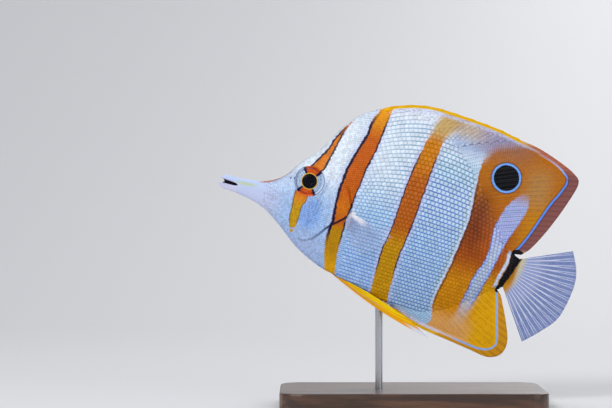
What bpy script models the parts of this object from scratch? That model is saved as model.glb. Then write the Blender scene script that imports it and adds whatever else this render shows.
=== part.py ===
"""Copperband butterflyfish: a still, life-size museum model on a plain display stand.

Metres, +Z up. The head points to -X and the left side of the fish faces -Y. The origin
is the middle of the underside of the stand's base.

The fish is drawn in its own frame, in millimetres: u runs from the tip of the lower jaw
towards the tail, v runs up and y to the fish's right. place() turns that frame by the
nose-up pitch, bends the tail aside and sets it over the stand.
"""

import bpy
import bmesh
from math import cos, hypot, pi, radians, sin
from mathutils import Matrix, Vector

MM = 0.001
GAP = 0.3                        # between neighbouring nodes

# Pose
PITCH = radians(17.0)            # the nose points up
TIP_X, TIP_Z = -79.0, 91.0       # tip of the lower jaw, from the middle of the base
SWAY_START, SWAY_END = 85.0, 152.0
SWAY = 7.0                       # the tail's end swings to the fish's right

# Outline of head and body as (u, v), without the fins
BACK = [(9.0, 4.65), (15.8, 5.7), (21.5, 8.0), (25.5, 11.3), (29.4, 17.4), (35.6, 25.0),
        (41.1, 35.3), (47.2, 43.3), (54.0, 47.4), (65.0, 50.2), (76.0, 49.2), (88.0, 43.0),
        (99.0, 34.2), (109.0, 23.8), (117.0, 13.6), (121.5, 8.6), (127.1, 6.3)]
BELLY = [(9.0, -1.85), (15.0, -2.8), (21.2, -4.7), (29.0, -9.3), (38.2, -15.7),
         (49.6, -20.6), (60.0, -22.6), (70.0, -24.6), (80.5, -26.6), (90.0, -27.0),
         (100.0, -24.4), (109.0, -18.9), (116.0, -12.9), (120.0, -9.2), (123.8, -6.7)]

# Half widths: of the body, and of its flat edges, which the fins stand on
HALF_WIDTH = [(9.0, 1.9), (16.0, 2.3), (22.0, 3.0), (28.0, 4.6), (35.0, 6.4), (42.0, 7.9),
              (50.0, 8.9), (60.0, 9.3), (72.0, 9.0), (84.0, 7.9), (96.0, 6.3), (108.0, 4.6),
              (117.0, 3.3), (125.45, 2.4)]
BACK_EDGE = [(9.0, 0.5), (28.0, 0.6), (45.0, 1.0), (60.0, 1.3), (100.0, 1.2), (125.45, 0.9)]
BELLY_EDGE = [(9.0, 0.5), (30.0, 0.8), (45.0, 1.6), (58.0, 2.4), (76.0, 2.5), (84.0, 1.5),
              (100.0, 1.2), (125.45, 0.9)]
BACK_ROUNDNESS = [(9.0, 0.5), (26.0, 0.55), (42.0, 0.66), (58.0, 0.94), (110.0, 1.0),
                  (125.45, 0.6)]
BELLY_ROUNDNESS = [(9.0, 0.5), (26.0, 0.55), (45.0, 0.66), (74.0, 0.72), (90.0, 0.96),
                   (110.0, 1.0), (125.45, 0.6)]
WIDEST = [(9.0, 0.5), (36.0, 0.5), (60.0, 0.58), (110.0, 0.56), (125.45, 0.5)]

# The body's stations lean: the neck's plane and the end of the peduncle aren't upright
NECK, NECK_LEAN, LEAN_START, LEAN_END = 42.0, 5.0, 18.0, 72.0
TAIL_LEAN, TAIL_LEAN_START = 1.65, 104.0
SNOUT_BASE, PEDUNCLE, BODY_END = 9.0, 116.0, 125.45
SIDE_STEPS = 13                  # faces from the back to the belly on each side

# Jaws
UPPER_JAW_TOP = [(0.2, 3.0), (2.1, 4.2), (7.6, 4.5), (8.7, 4.6)]
UPPER_JAW_EDGE = [(0.2, 2.55), (1.15, 2.3), (3.0, 2.18), (6.8, 2.02), (8.7, 1.65)]
LOWER_JAW_EDGE = [(-0.1, 0.4), (0.6, 0.6), (2.7, 0.74), (6.8, 0.98), (8.7, 1.35)]
LOWER_JAW_BOTTOM = [(-0.1, -0.25), (1.7, -1.35), (5.2, -1.6), (8.7, -1.85)]
JAW_WIDTH = [(-0.1, 0.7), (0.8, 1.15), (2.2, 1.35), (4.5, 1.45), (8.7, 1.85)]
LIP = 0.8                        # of the jaw's half width, along the line of the mouth

# Eyes and nostrils
EYE_U, EYE_V = 35.3, 11.5
EYE_RADIUS, EYE_DEPTH, EYE_Y = 5.4, 2.7, 4.55
NOSTRILS = [(27.6, 10.6), (29.1, 10.9)]
NOSTRIL_RADIUS, NOSTRIL_DEPTH = 0.45, 0.7

# Gill covers, as an outline round a middle
GILL_MIDDLE = (45.0, 3.0)
GILL_OUTLINE = [(44.5, 16.8), (49.5, 14.6), (53.0, 9.5), (54.4, 3.0), (47.6, -4.3),
                (43.1, -10.4), (38.8, -12.4), (35.6, -9.6), (36.4, -3.4), (40.6, 3.2),
                (42.6, 10.5)]
GILL_STEPS, GILL_RINGS = 33, 3
GILL_THICKNESS, GILL_PROUD = 1.5, 0.35

# Fins: half thickness of a ray's ridge at its root and tip, and of the membrane between
RIDGE_ROOT, RIDGE_TIP, MEMBRANE = 0.62, 0.32, 0.26
SPINY_RAYS, SOFT_RAYS, ANAL_SPINES, ANAL_RAYS, CAUDAL_RAYS = 9, 28, 3, 19, 17
PECTORAL_RAYS, PELVIC_RAYS = 14, 6

SPINY_ROOT = (53.6, 88.6)        # along the back
SPINY_TIPS = [(56.6, 49.7), (61.6, 52.0), (69.4, 54.5), (77.6, 55.6), (90.6, 55.4),
              (103.6, 54.6), (113.4, 53.1)]
SPINE_TIP = 0.9                  # how far a spine stands out of the fin's edge
SOFT_ROOT = (89.4, 123.6)
SOFT_TIPS = [(114.5, 52.8), (121.7, 52.0), (131.1, 49.4), (138.4, 46.5), (141.6, 43.2),
             (139.9, 34.9), (135.4, 22.0), (130.7, 12.1), (127.3, 8.0)]
ANAL_ROOT = (80.8, 121.6)
ANAL_TIPS = [(84.4, -29.2), (89.5, -31.1), (98.0, -33.0), (108.0, -34.1), (118.0, -35.3),
             (126.3, -36.1), (131.3, -33.4), (132.4, -27.8), (129.2, -19.6), (124.0, -10.0)]
CAUDAL_TIPS = [(147.8, 15.8), (151.6, 8.0), (152.4, 0.0), (150.2, -12.0), (144.8, -19.4),
               (138.2, -26.0)]
CAUDAL_ROOT_HALF = 1.5

PECTORAL_TOP, PECTORAL_BOTTOM = (55.6, 4.0), (56.6, -2.0)
PECTORAL_LENGTH = (21.5, 11.0)   # first ray and last ray
PECTORAL_ANGLES = (radians(12.0), radians(78.0))
PECTORAL_FLARE = radians(30.0)
PECTORAL_STUB = 1.0              # the root stands off the flank before it turns back
PELVIC_ROOT = (54.8, 59.6)
PELVIC_TIPS = [(100.5, -35.3), (92.0, -31.2), (86.0, -29.0), (79.0, -26.8), (71.0, -24.6)]
PELVIC_SAG = 7.0                 # of the first ray
PELVIC_DROP = 0.15               # of the root, more than the gap
PELVIC_Y, PELVIC_SPREAD = 1.7, 2.9

# Stand
BASE_LENGTH, BASE_WIDTH, BASE_HEIGHT = 108.0, 60.0, 7.0
BASE_CORNER, BASE_CHAMFER = 9.0, 0.8
ROD_RADIUS, ROD_U, ROD_SUNK = 1.5, 76.5, 6.0
SOCKET_DEPTH = 5.0


def clear_scene():
    for obj in list(bpy.data.objects):
        bpy.data.objects.remove(obj, do_unlink=True)


def new_collection(name):
    collection = bpy.data.collections.new(name)
    bpy.context.scene.collection.children.link(collection)
    return collection


# The fish's frame

def sway(u):
    """Sideways curve of the body towards the tail."""
    t = max(0.0, (u - SWAY_START) / (SWAY_END - SWAY_START))
    return SWAY * t * t


def place(u, y, v):
    """A point of the fish's frame, in the model's frame."""
    x = TIP_X + u * cos(PITCH) + v * sin(PITCH)
    z = TIP_Z - u * sin(PITCH) + v * cos(PITCH)
    return Vector((x, y + sway(u), z)) * MM


def smooth(start, end, x):
    """0 before start, 1 after end, and smoothly between."""
    t = min(1.0, max(0.0, (x - start) / (end - start)))
    return t * t * (3.0 - 2.0 * t)


def between(a, b, t):
    return a + (b - a) * t


def along(points, x):
    """The smooth curve through (x, value) points, at x."""
    if x <= points[0][0]:
        return points[0][1]
    if x >= points[-1][0]:
        return points[-1][1]
    i = max(k for k in range(len(points) - 1) if points[k][0] <= x)

    def slope(k):
        a, b = points[max(k - 1, 0)], points[min(k + 1, len(points) - 1)]
        return (b[1] - a[1]) / (b[0] - a[0])

    (x0, y0), (x1, y1) = points[i], points[i + 1]
    step = x1 - x0
    t = (x - x0) / step
    return ((2 * t ** 3 - 3 * t ** 2 + 1) * y0 + (t ** 3 - 2 * t ** 2 + t) * step * slope(i)
            + (3 * t ** 2 - 2 * t ** 3) * y1 + (t ** 3 - t ** 2) * step * slope(i + 1))


def spline(points, t, closed=False):
    """The smooth curve through (u, v) points, at a share t of its length."""
    count = len(points)
    spans = count if closed else count - 1

    def point(k):
        return points[k % count] if closed else points[min(max(k, 0), count - 1)]

    lengths = [hypot(point(k + 1)[0] - point(k)[0], point(k + 1)[1] - point(k)[1])
               for k in range(spans)]
    run = min(max(t, 0.0), 1.0) * sum(lengths)
    k = 0
    while k < spans - 1 and run > lengths[k]:
        run -= lengths[k]
        k += 1
    s = run / lengths[k]
    knots = [point(k - 1), point(k), point(k + 1), point(k + 2)]
    return tuple(0.5 * (2 * b + (c - a) * s + (2 * a - 5 * b + 4 * c - d) * s * s
                        + (3 * b - a - 3 * c + d) * s ** 3)
                 for a, b, c, d in zip(*knots))


# The body's surface

def lean(station):
    """How far a station's upper end lies behind its middle, and its lower end before it."""
    neck = smooth(LEAN_START, NECK, station) * (1.0 - smooth(NECK, LEAN_END, station))
    return NECK_LEAN * neck + TAIL_LEAN * smooth(TAIL_LEAN_START, BODY_END, station)


def chord(station):
    """The two ends of a station, on the back and on the belly."""
    top = station + lean(station)
    low = station - lean(station)
    return (top, along(BACK, top)), (low, along(BELLY, low))


def half_width(station, t):
    """Half width of the body at a share t of the way from the back to the belly."""
    edge = between(along(BACK_EDGE, station), along(BELLY_EDGE, station), t)
    widest = along(WIDEST, station)
    if t < widest:
        off, roundness = (widest - t) / widest, along(BACK_ROUNDNESS, station)
    else:
        off, roundness = (t - widest) / (1.0 - widest), along(BELLY_ROUNDNESS, station)
    bulge = max(0.0, 1.0 - off * off) ** roundness
    return edge + (along(HALF_WIDTH, station) - edge) * bulge


def flank(u, v):
    """Half width of the body at a point of its side."""
    station, t = u, 0.5
    for _ in range(24):
        (top_u, top_v), (low_u, low_v) = chord(station)
        t = min(1.0, max(0.0, (top_v - v) / (top_v - low_v)))
        station += 0.7 * (u - between(top_u, low_u, t))
    return half_width(station, t)


# Meshes

def material(name, color, roughness, metallic=0.0):
    mat = bpy.data.materials.get(name) or bpy.data.materials.new(name)
    mat.use_nodes = True
    shader = mat.node_tree.nodes["Principled BSDF"]
    shader.inputs["Base Color"].default_value = (*color, 1.0)
    shader.inputs["Roughness"].default_value = roughness
    shader.inputs["Metallic"].default_value = metallic
    return mat


def skin_white():
    return material("pearl_skin", (0.60, 0.74, 0.87), 0.4)


def skin_orange():
    return material("orange_skin", (0.66, 0.30, 0.03), 0.45)


def fin_clear():
    return material("clear_fin", (0.45, 0.55, 0.70), 0.4)


def eye_dark():
    return material("eye", (0.02, 0.02, 0.04), 0.1)


def stand_wood():
    return material("stand_wood", (0.08, 0.05, 0.035), 0.35)


def stand_steel():
    return material("stand_steel", (0.6, 0.6, 0.6), 0.25, 1.0)


def add_object(name, bm, mat, collection):
    bmesh.ops.recalc_face_normals(bm, faces=bm.faces)
    mesh = bpy.data.meshes.new(name)
    bm.to_mesh(mesh)
    bm.free()
    mesh.materials.append(mat)
    mesh.shade_smooth()
    mesh.set_sharp_from_angle(angle=radians(40.0))
    obj = bpy.data.objects.new(name, mesh)
    collection.objects.link(obj)
    return obj


def as_cutter(obj):
    obj.hide_render = True
    obj.display_type = "WIRE"
    return obj


def loft(rings):
    """A closed body through rings of as many points each, with flat ends."""
    bm = bmesh.new()
    rows = [[bm.verts.new(point) for point in ring] for ring in rings]
    count = len(rows[0])
    for row, nxt in zip(rows, rows[1:]):
        for k in range(count):
            m = (k + 1) % count
            bm.faces.new((row[k], row[m], nxt[m], nxt[k]))
    bm.faces.new(rows[0])
    bm.faces.new(rows[-1])
    return bm


def keep_largest(bm):
    """Drop every closed surface but the one with the most faces."""
    left = set(bm.faces)
    groups = []
    while left:
        stack = [left.pop()]
        group = set(stack)
        while stack:
            for edge in stack.pop().edges:
                for face in edge.link_faces:
                    if face in left:
                        left.remove(face)
                        group.add(face)
                        stack.append(face)
        groups.append(group)
    groups.sort(key=len)
    scraps = [face for group in groups[:-1] for face in group]
    bmesh.ops.delete(bm, geom=scraps, context="FACES")


def cut(obj, cutters):
    """Take the cutters out of the object, for good."""
    for cutter in cutters:
        modifier = obj.modifiers.new("cut_" + cutter.name, "BOOLEAN")
        modifier.operation = "DIFFERENCE"
        modifier.object = cutter
    graph = bpy.context.evaluated_depsgraph_get()
    mesh = bpy.data.meshes.new_from_object(obj.evaluated_get(graph))
    obj.modifiers.clear()
    bm = bmesh.new()
    bm.from_mesh(mesh)
    keep_largest(bm)
    bm.to_mesh(obj.data)
    bm.free()
    bpy.data.meshes.remove(mesh)
    obj.data.set_sharp_from_angle(angle=radians(40.0))


# Body

def body_ring(station):
    (top_u, top_v), (low_u, low_v) = chord(station)
    side = []
    for k in range(SIDE_STEPS + 1):
        t = 0.5 - 0.5 * cos(pi * k / SIDE_STEPS)
        side.append((between(top_u, low_u, t), half_width(station, t), between(top_v, low_v, t)))
    left = [place(u, -y, v) for u, y, v in reversed(side)]
    return [place(u, y, v) for u, y, v in side] + left


def body_length(name, start, end, count, mat, collection):
    rings = [body_ring(between(start, end, k / (count - 1))) for k in range(count)]
    return add_object(name, loft(rings), mat, collection)


def jaw(name, top, low, lip_below, mat, collection):
    """One jaw, with its thick lip along the line of the mouth."""
    start, end, count, steps = top[0][0], top[-1][0], 9, 6
    rings = []
    for k in range(count):
        u = between(start, end, (k / (count - 1)) ** 1.5)
        high, under, width = along(top, u), along(low, u), along(JAW_WIDTH, u)
        side = []
        for i in range(steps + 1):
            t = i / steps
            lip = t if lip_below else 1.0 - t
            rim = width * between(0.35, LIP, lip)
            bulge = (1.0 - (2.0 * t - 1.0) ** 2) ** 0.5
            side.append((rim + (width - rim) * bulge, between(high, under, t)))
        left = [place(u, -y, v) for y, v in reversed(side)]
        rings.append([place(u, y, v) for y, v in side] + left)
    return add_object(name, loft(rings), mat, collection)


def ball(name, side, grow, mat, collection):
    """An eye, or with grow its socket: a ball flattened across the head."""
    bm = bmesh.new()
    size = Matrix.Diagonal(((EYE_RADIUS + grow) * MM, (EYE_DEPTH + grow) * MM,
                            (EYE_RADIUS + grow) * MM, 1.0))
    poles = Matrix.Rotation(radians(90.0), 4, "X")
    bmesh.ops.create_uvsphere(bm, u_segments=24, v_segments=13, radius=1.0, matrix=size @ poles)
    obj = add_object(name, bm, mat, collection)
    obj.location = place(EYE_U, side * EYE_Y, EYE_V)
    obj.rotation_euler = (0.0, PITCH, 0.0)
    return obj


def nostril(name, u, v, side, collection):
    bm = bmesh.new()
    bmesh.ops.create_cone(bm, cap_ends=True, segments=12, radius1=NOSTRIL_RADIUS * MM,
                          radius2=NOSTRIL_RADIUS * MM, depth=2.0 * NOSTRIL_DEPTH * MM)
    obj = add_object(name, bm, skin_white(), collection)
    obj.location = place(u, side * flank(u, v), v)
    obj.rotation_euler = (radians(90.0), 0.0, 0.0)
    return as_cutter(obj)


def gill_plate(name, side, grow, outer, inner, mat, collection):
    """A gill cover that follows the flank, or with grow the pocket that it lies in."""
    middle = Vector(GILL_MIDDLE)
    bm = bmesh.new()
    layers = []
    for depth in (outer, inner):
        u, v = middle
        rings = [[bm.verts.new(place(u, side * (flank(u, v) + depth), v))]]
        for r in range(1, GILL_RINGS + 1):
            ring = []
            for k in range(GILL_STEPS):
                rim = Vector(spline(GILL_OUTLINE, k / GILL_STEPS, closed=True)) - middle
                reach = rim * (1.0 + grow / rim.length) * (r / GILL_RINGS)
                u, v = middle + reach
                ring.append(bm.verts.new(place(u, side * (flank(u, v) + depth), v)))
            rings.append(ring)
        layers.append(rings)
        for k in range(GILL_STEPS):
            m = (k + 1) % GILL_STEPS
            bm.faces.new((rings[0][0], rings[1][k], rings[1][m]))
            for near, far in zip(rings[1:], rings[2:]):
                bm.faces.new((near[k], far[k], far[m]))
                bm.faces.new((near[k], far[m], near[m]))
    for k in range(GILL_STEPS):
        m = (k + 1) % GILL_STEPS
        bm.faces.new((layers[0][-1][k], layers[1][-1][k], layers[1][-1][m], layers[0][-1][m]))
    return add_object(name, bm, mat, collection)


# Fins

def fin(name, points, half, mat, collection):
    """A fin from a grid of points, thick by half at each, alike on both faces.

    points[i][j] and half[i][j] run along the root with i and from root to tip with j.
    """
    columns, rows = len(points), len(points[0])
    bm = bmesh.new()
    layer = bm.verts.layers.deform.verify()
    bmesh.ops.create_grid(bm, x_segments=columns - 1, y_segments=rows - 1, size=1.0)
    order = sorted(bm.verts, key=lambda vert: (round(vert.co.x, 5), round(vert.co.y, 5)))
    most = max(max(column) for column in half)
    for n, vert in enumerate(order):
        i, j = divmod(n, rows)
        vert.co = points[i][j]
        vert[layer][0] = half[i][j] / most
    bmesh.ops.triangulate(bm, faces=bm.faces, quad_method="FIXED")
    obj = add_object(name, bm, mat, collection)
    obj.vertex_groups.new(name="thickness")
    solid = obj.modifiers.new("thickness", "SOLIDIFY")
    solid.thickness = 2.0 * most * MM
    solid.offset = 0.0
    solid.vertex_group = "thickness"
    return obj


def ridges(rays, rows, root_half):
    """Half thicknesses of a fin with a ridge along every other line of the grid."""
    half = []
    for i in range(2 * rays + 1):
        column = []
        for j in range(rows):
            t = j / (rows - 1)
            thin = between(RIDGE_ROOT, RIDGE_TIP, t) if i % 2 else MEMBRANE
            column.append(between(root_half, thin, smooth(0.0, 0.3, t)))
        half.append(column)
    return half


def fin_grid(roots, tips, rows, curl=0.0):
    """Points between a line of roots and a line of tips; curl bows each ray towards +u."""
    grid = []
    for (root_u, root_v), (tip_u, tip_v) in zip(roots, tips):
        column = []
        for j in range(rows):
            t = j / (rows - 1)
            bow = curl * t * (1.0 - t)
            u = between(root_u, tip_u, t) + bow * (tip_v - root_v)
            v = between(root_v, tip_v, t) - bow * (tip_u - root_u)
            column.append(place(u, 0.0, v))
        grid.append(column)
    return grid


def edge_roots(edge, span, count, outwards):
    """Root points just clear of the back (outwards 1) or the belly (outwards -1)."""
    roots = []
    for i in range(count):
        u = between(span[0], span[1], i / (count - 1))
        slope = (along(edge, u + 0.5) - along(edge, u - 0.5)) / 1.0
        scale = outwards * GAP * 1.1 / hypot(slope, 1.0)
        roots.append((u - slope * scale, along(edge, u) + scale))
    return roots


def spiny_dorsal(collection):
    rows, count = 8, 2 * SPINY_RAYS + 1
    roots = edge_roots(BACK, SPINY_ROOT, count, 1.0)
    tips = []
    for i in range(count):
        u, v = spline(SPINY_TIPS, i / (count - 1))
        tips.append((u + SPINE_TIP, v + 0.4 * SPINE_TIP) if i % 2 else (u, v - 0.3))
    half = ridges(SPINY_RAYS, rows, 1.15)
    return fin("dorsal_fin_spiny", fin_grid(roots, tips, rows, -0.10), half, skin_orange(),
               collection)


def soft_dorsal(collection):
    rows, count = 8, 2 * SOFT_RAYS + 1
    roots = edge_roots(BACK, SOFT_ROOT, count, 1.0)
    tips = [spline(SOFT_TIPS, i / (count - 1)) for i in range(count)]
    return fin("dorsal_fin_soft", fin_grid(roots, tips, rows, -0.10),
               ridges(SOFT_RAYS, rows, 1.0), skin_orange(), collection)


def anal_fin(collection):
    rays = ANAL_SPINES + ANAL_RAYS
    rows, count = 7, 2 * rays + 1
    roots = edge_roots(BELLY, ANAL_ROOT, count, -1.0)
    tips = [spline(ANAL_TIPS, (i / (count - 1)) ** 0.9) for i in range(count)]
    return fin("anal_fin", fin_grid(roots, tips, rows, 0.12), ridges(rays, rows, 1.0),
               skin_orange(), collection)


def caudal_fin(collection):
    rows, count = 8, 2 * CAUDAL_RAYS + 1
    (top_u, top_v), (low_u, low_v) = chord(BODY_END)
    length = hypot(top_u - low_u, top_v - low_v)
    out_u, out_v = (top_v - low_v) / length * GAP, -(top_u - low_u) / length * GAP
    roots = []
    for i in range(count):
        t = between(0.02, 0.98, i / (count - 1))
        roots.append((between(top_u, low_u, t) + out_u, between(top_v, low_v, t) + out_v))
    tips = [spline(CAUDAL_TIPS, i / (count - 1)) for i in range(count)]
    half = ridges(CAUDAL_RAYS, rows, CAUDAL_ROOT_HALF)
    return fin("caudal_fin", fin_grid(roots, tips, rows), half, fin_clear(), collection)


def pectoral_fin(side, name, collection):
    """A clear fan that leaves the flank squarely and turns back along the body."""
    rows, count = 7, 2 * PECTORAL_RAYS + 1
    points = []
    for i in range(count):
        s = i / (count - 1)
        root_u = between(PECTORAL_TOP[0], PECTORAL_BOTTOM[0], s)
        root_v = between(PECTORAL_TOP[1], PECTORAL_BOTTOM[1], s)
        root_y = flank(root_u, root_v) + GAP
        angle = between(*PECTORAL_ANGLES, s)
        reach = between(*PECTORAL_LENGTH, s ** 1.3)
        column = [place(root_u, side * root_y, root_v)]
        for j in range(1, rows):
            t = (j - 1) / (rows - 2)
            run = between(0.3, reach * cos(PECTORAL_FLARE), t)
            out = PECTORAL_STUB + reach * sin(PECTORAL_FLARE) * t
            column.append(place(root_u + run * cos(angle), side * (root_y + out),
                                root_v - run * sin(angle)))
        points.append(column)
    return fin(name, points, ridges(PECTORAL_RAYS, rows, 0.7), fin_clear(), collection)


def pelvic_fin(side, name, collection):
    """A narrow blade folded back under the belly, beside its fellow."""
    rows, count = 7, 2 * PELVIC_RAYS + 1
    roots = edge_roots(BELLY, PELVIC_ROOT, count, -1.0)
    points = []
    for i, (root_u, root_v) in enumerate(roots):
        tip_u, tip_v = spline(PELVIC_TIPS, i / (count - 1))
        column = []
        for j in range(rows):
            t = j / (rows - 1)
            sag = PELVIC_SAG * t * (1.0 - t) * (1.0 - i / (count - 1))
            y = PELVIC_Y + PELVIC_SPREAD * smooth(0.0, 0.6, t)
            column.append(place(between(root_u, tip_u, t), side * y,
                                between(root_v, tip_v, t) - sag - PELVIC_DROP))
        points.append(column)
    return fin(name, points, ridges(PELVIC_RAYS, rows, 0.5), skin_orange(), collection)


# Stand

def rod_place():
    """Where the rod meets the belly, in millimetres of the model's frame."""
    return place(ROD_U, 0.0, along(BELLY, ROD_U)) / MM


def cylinder(name, x, y, low, high, radius, mat, collection):
    bm = bmesh.new()
    bmesh.ops.create_cone(bm, cap_ends=True, segments=32, radius1=radius * MM,
                          radius2=radius * MM, depth=(high - low) * MM)
    obj = add_object(name, bm, mat, collection)
    obj.location = Vector((x, y, (low + high) / 2.0)) * MM
    return obj


def stand_base(collection):
    bm = bmesh.new()
    size = Matrix.Diagonal((BASE_LENGTH * MM, BASE_WIDTH * MM, BASE_HEIGHT * MM, 1.0))
    lift = Matrix.Translation((0.0, 0.0, BASE_HEIGHT / 2.0 * MM))
    bmesh.ops.create_cube(bm, size=1.0, matrix=lift @ size)
    upright = [e for e in bm.edges if abs(e.verts[0].co.z - e.verts[1].co.z) > MM]
    bmesh.ops.bevel(bm, geom=upright, offset=BASE_CORNER * MM, segments=6, affect="EDGES",
                    profile=0.5)
    top = [e for e in bm.edges if all(v.co.z > (BASE_HEIGHT - 0.1) * MM for v in e.verts)]
    bmesh.ops.bevel(bm, geom=top, offset=BASE_CHAMFER * MM, segments=2, affect="EDGES",
                    profile=0.5)
    return add_object("stand_base", bm, stand_wood(), collection)


def build():
    clear_scene()
    fish = new_collection("copperband_butterflyfish")
    cutters = new_collection("cutters")

    jaw("upper_jaw", UPPER_JAW_TOP, UPPER_JAW_EDGE, True, skin_white(), fish)
    jaw("lower_jaw", LOWER_JAW_EDGE, LOWER_JAW_BOTTOM, False, skin_white(), fish)
    half_gap = 0.55 * GAP
    head = body_length("head", SNOUT_BASE, NECK - half_gap, 19, skin_white(), fish)
    trunk = body_length("trunk", NECK + half_gap, PEDUNCLE - half_gap, 27, skin_white(), fish)
    body_length("peduncle", PEDUNCLE + half_gap, BODY_END, 5, skin_white(), fish)

    head_cuts, trunk_cuts = [], []
    for side, word in ((-1.0, "left"), (1.0, "right")):
        ball("eye_" + word, side, 0.0, eye_dark(), fish)
        head_cuts.append(as_cutter(ball("socket_" + word, side, GAP, eye_dark(), cutters)))
        for n, (u, v) in enumerate(NOSTRILS):
            head_cuts.append(nostril(f"nostril_{word}_{n + 1}", u, v, side, cutters))
        gill_plate("gill_cover_" + word, side, 0.0, GILL_PROUD, GILL_PROUD - GILL_THICKNESS,
                   skin_white(), fish)
        pocket = gill_plate("pocket_" + word, side, GAP, 3.0,
                            GILL_PROUD - GILL_THICKNESS - GAP, skin_white(), cutters)
        as_cutter(pocket)
        head_cuts.append(pocket)
        trunk_cuts.append(pocket)
        pectoral_fin(side, "pectoral_fin_" + word, fish)
        pelvic_fin(side, "pelvic_fin_" + word, fish)

    rod_x, rod_y, belly_z = rod_place()
    bore = cylinder("bore", rod_x, rod_y, belly_z - 4.0, belly_z + ROD_SUNK,
                    ROD_RADIUS + GAP, skin_white(), cutters)
    trunk_cuts.append(as_cutter(bore))
    cut(head, head_cuts)
    cut(trunk, trunk_cuts)

    spiny_dorsal(fish)
    soft_dorsal(fish)
    anal_fin(fish)
    caudal_fin(fish)

    base = stand_base(fish)
    floor_z = BASE_HEIGHT - SOCKET_DEPTH
    socket = cylinder("rod_socket", rod_x, rod_y, floor_z, BASE_HEIGHT + 2.0,
                      ROD_RADIUS + GAP, stand_wood(), cutters)
    cut(base, [as_cutter(socket)])
    cylinder("stand_rod", rod_x, rod_y, floor_z + GAP, belly_z + ROD_SUNK - GAP, ROD_RADIUS,
             stand_steel(), fish)


build()
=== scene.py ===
"""Copperband butterflyfish: the looks of the still, life-size model on its display stand.

Everything is in the frame of the solids, metres and +Z up. The fish is drawn in its own
frame, in millimetres: u runs from the tip of the lower jaw towards the tail, v runs up
and y to the fish's right, and place() sets it over the stand.
"""

from math import cos, pi, radians, sin

import bpy
import numpy as np
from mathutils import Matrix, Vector


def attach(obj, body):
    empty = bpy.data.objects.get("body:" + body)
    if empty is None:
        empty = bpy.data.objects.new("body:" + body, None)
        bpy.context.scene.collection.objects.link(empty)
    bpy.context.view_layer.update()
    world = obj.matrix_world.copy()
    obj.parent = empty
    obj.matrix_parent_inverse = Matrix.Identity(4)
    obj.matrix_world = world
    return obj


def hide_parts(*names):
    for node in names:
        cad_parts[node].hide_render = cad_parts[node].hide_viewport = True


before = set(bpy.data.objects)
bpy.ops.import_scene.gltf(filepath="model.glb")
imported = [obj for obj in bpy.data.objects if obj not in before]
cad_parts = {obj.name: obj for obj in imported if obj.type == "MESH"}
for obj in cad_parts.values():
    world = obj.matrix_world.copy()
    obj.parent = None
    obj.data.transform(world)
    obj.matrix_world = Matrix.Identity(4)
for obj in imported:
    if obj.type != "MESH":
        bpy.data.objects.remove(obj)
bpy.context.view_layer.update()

MM = 0.001
BODY = "root"
SIDES = ((-1, "left"), (1, "right"))      # the sign of y on each side

# Pose, as in the solids
PITCH = radians(17)
TIP_X, TIP_Z = -79, 91
SWAY_START, SWAY_END, SWAY = 85, 152, 7

# Outline of head and body as (u, v), without the fins
BACK = [(-0.1, 3), (2.1, 4.2), (7.6, 4.5), (15.8, 5.7), (21.5, 8), (25.5, 11.3), (29.4, 17.4),
        (35.6, 25), (41.1, 35.3), (47.2, 43.3), (54, 47.4), (65, 50.2), (76, 49.2), (88, 43),
        (99, 34.2), (109, 23.8), (117, 13.6), (121.5, 8.6), (127.1, 6.3)]
BELLY = [(-0.3, -0.25), (1.7, -1.35), (5.2, -1.6), (9, -1.85), (15, -2.8), (21.2, -4.7),
         (29, -9.3), (38.2, -15.7), (49.6, -20.6), (60, -22.6), (70, -24.6), (80.5, -26.6),
         (90, -27), (100, -24.4), (109, -18.9), (116, -12.9), (120, -9.2), (123.8, -6.7)]
HALF_WIDTH = [(-0.1, 0.8), (0.8, 1.15), (2.2, 1.35), (4.5, 1.45), (9, 1.9), (16, 2.3), (22, 3),
              (28, 4.6), (35, 6.4), (42, 7.9), (50, 8.9), (60, 9.3), (72, 9), (84, 7.9), (96, 6.3),
              (108, 4.6), (117, 3.3), (125.45, 2.4)]
BACK_EDGE = [(-0.1, 0.25), (9, 0.5), (28, 0.6), (45, 1), (60, 1.3), (100, 1.2), (125.45, 0.9)]
BELLY_EDGE = [(-0.1, 0.25), (9, 0.5), (30, 0.8), (45, 1.6), (58, 2.4), (76, 2.5), (84, 1.5),
              (100, 1.2), (125.45, 0.9)]
BACK_ROUNDNESS = [(9, 0.5), (26, 0.55), (42, 0.66), (58, 0.94), (110, 1), (125.45, 0.6)]
BELLY_ROUNDNESS = [(9, 0.5), (26, 0.55), (45, 0.66), (74, 0.72), (90, 0.96), (110, 1),
                   (125.45, 0.6)]
WIDEST = [(9, 0.5), (36, 0.5), (60, 0.58), (110, 0.56), (125.45, 0.5)]
NECK, NECK_LEAN, LEAN_START, LEAN_END = 42, 5, 18, 72
TAIL_LEAN, TAIL_LEAN_START, BODY_END = 1.65, 104, 125.45

# The mouth: edges of the jaws, meeting at its corner
MOUTH_CORNER = 7.8
UPPER_LIP = [(-0.1, 2.6), (1.15, 2.3), (3, 2.18), (6.8, 2.02), (MOUTH_CORNER, 1.5)]
LOWER_LIP = [(-0.1, 0.4), (0.6, 0.6), (2.7, 0.74), (6.8, 0.98), (MOUTH_CORNER, 1.5)]
# Each jaw by its tip, outline, own and other lip, and the arch of its lining
JAWS = ((0.1, BACK, UPPER_LIP, LOWER_LIP, 0.4), (-0.3, BELLY, LOWER_LIP, UPPER_LIP, -0.4))
TIP_ROUNDING = 1

EYE_U, EYE_V, EYE_Y = 35.3, 11.5, 4.55
EYE, EYE_RADIUS = (EYE_U, EYE_V), 5.4
ORBIT, EYE_BARE = 5.45, 6.35     # radii of the opening round the eye and of bare skin
PUPIL = 3.05
NOSTRILS = [(27.6, 10.6), (29.1, 10.9)]

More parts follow.
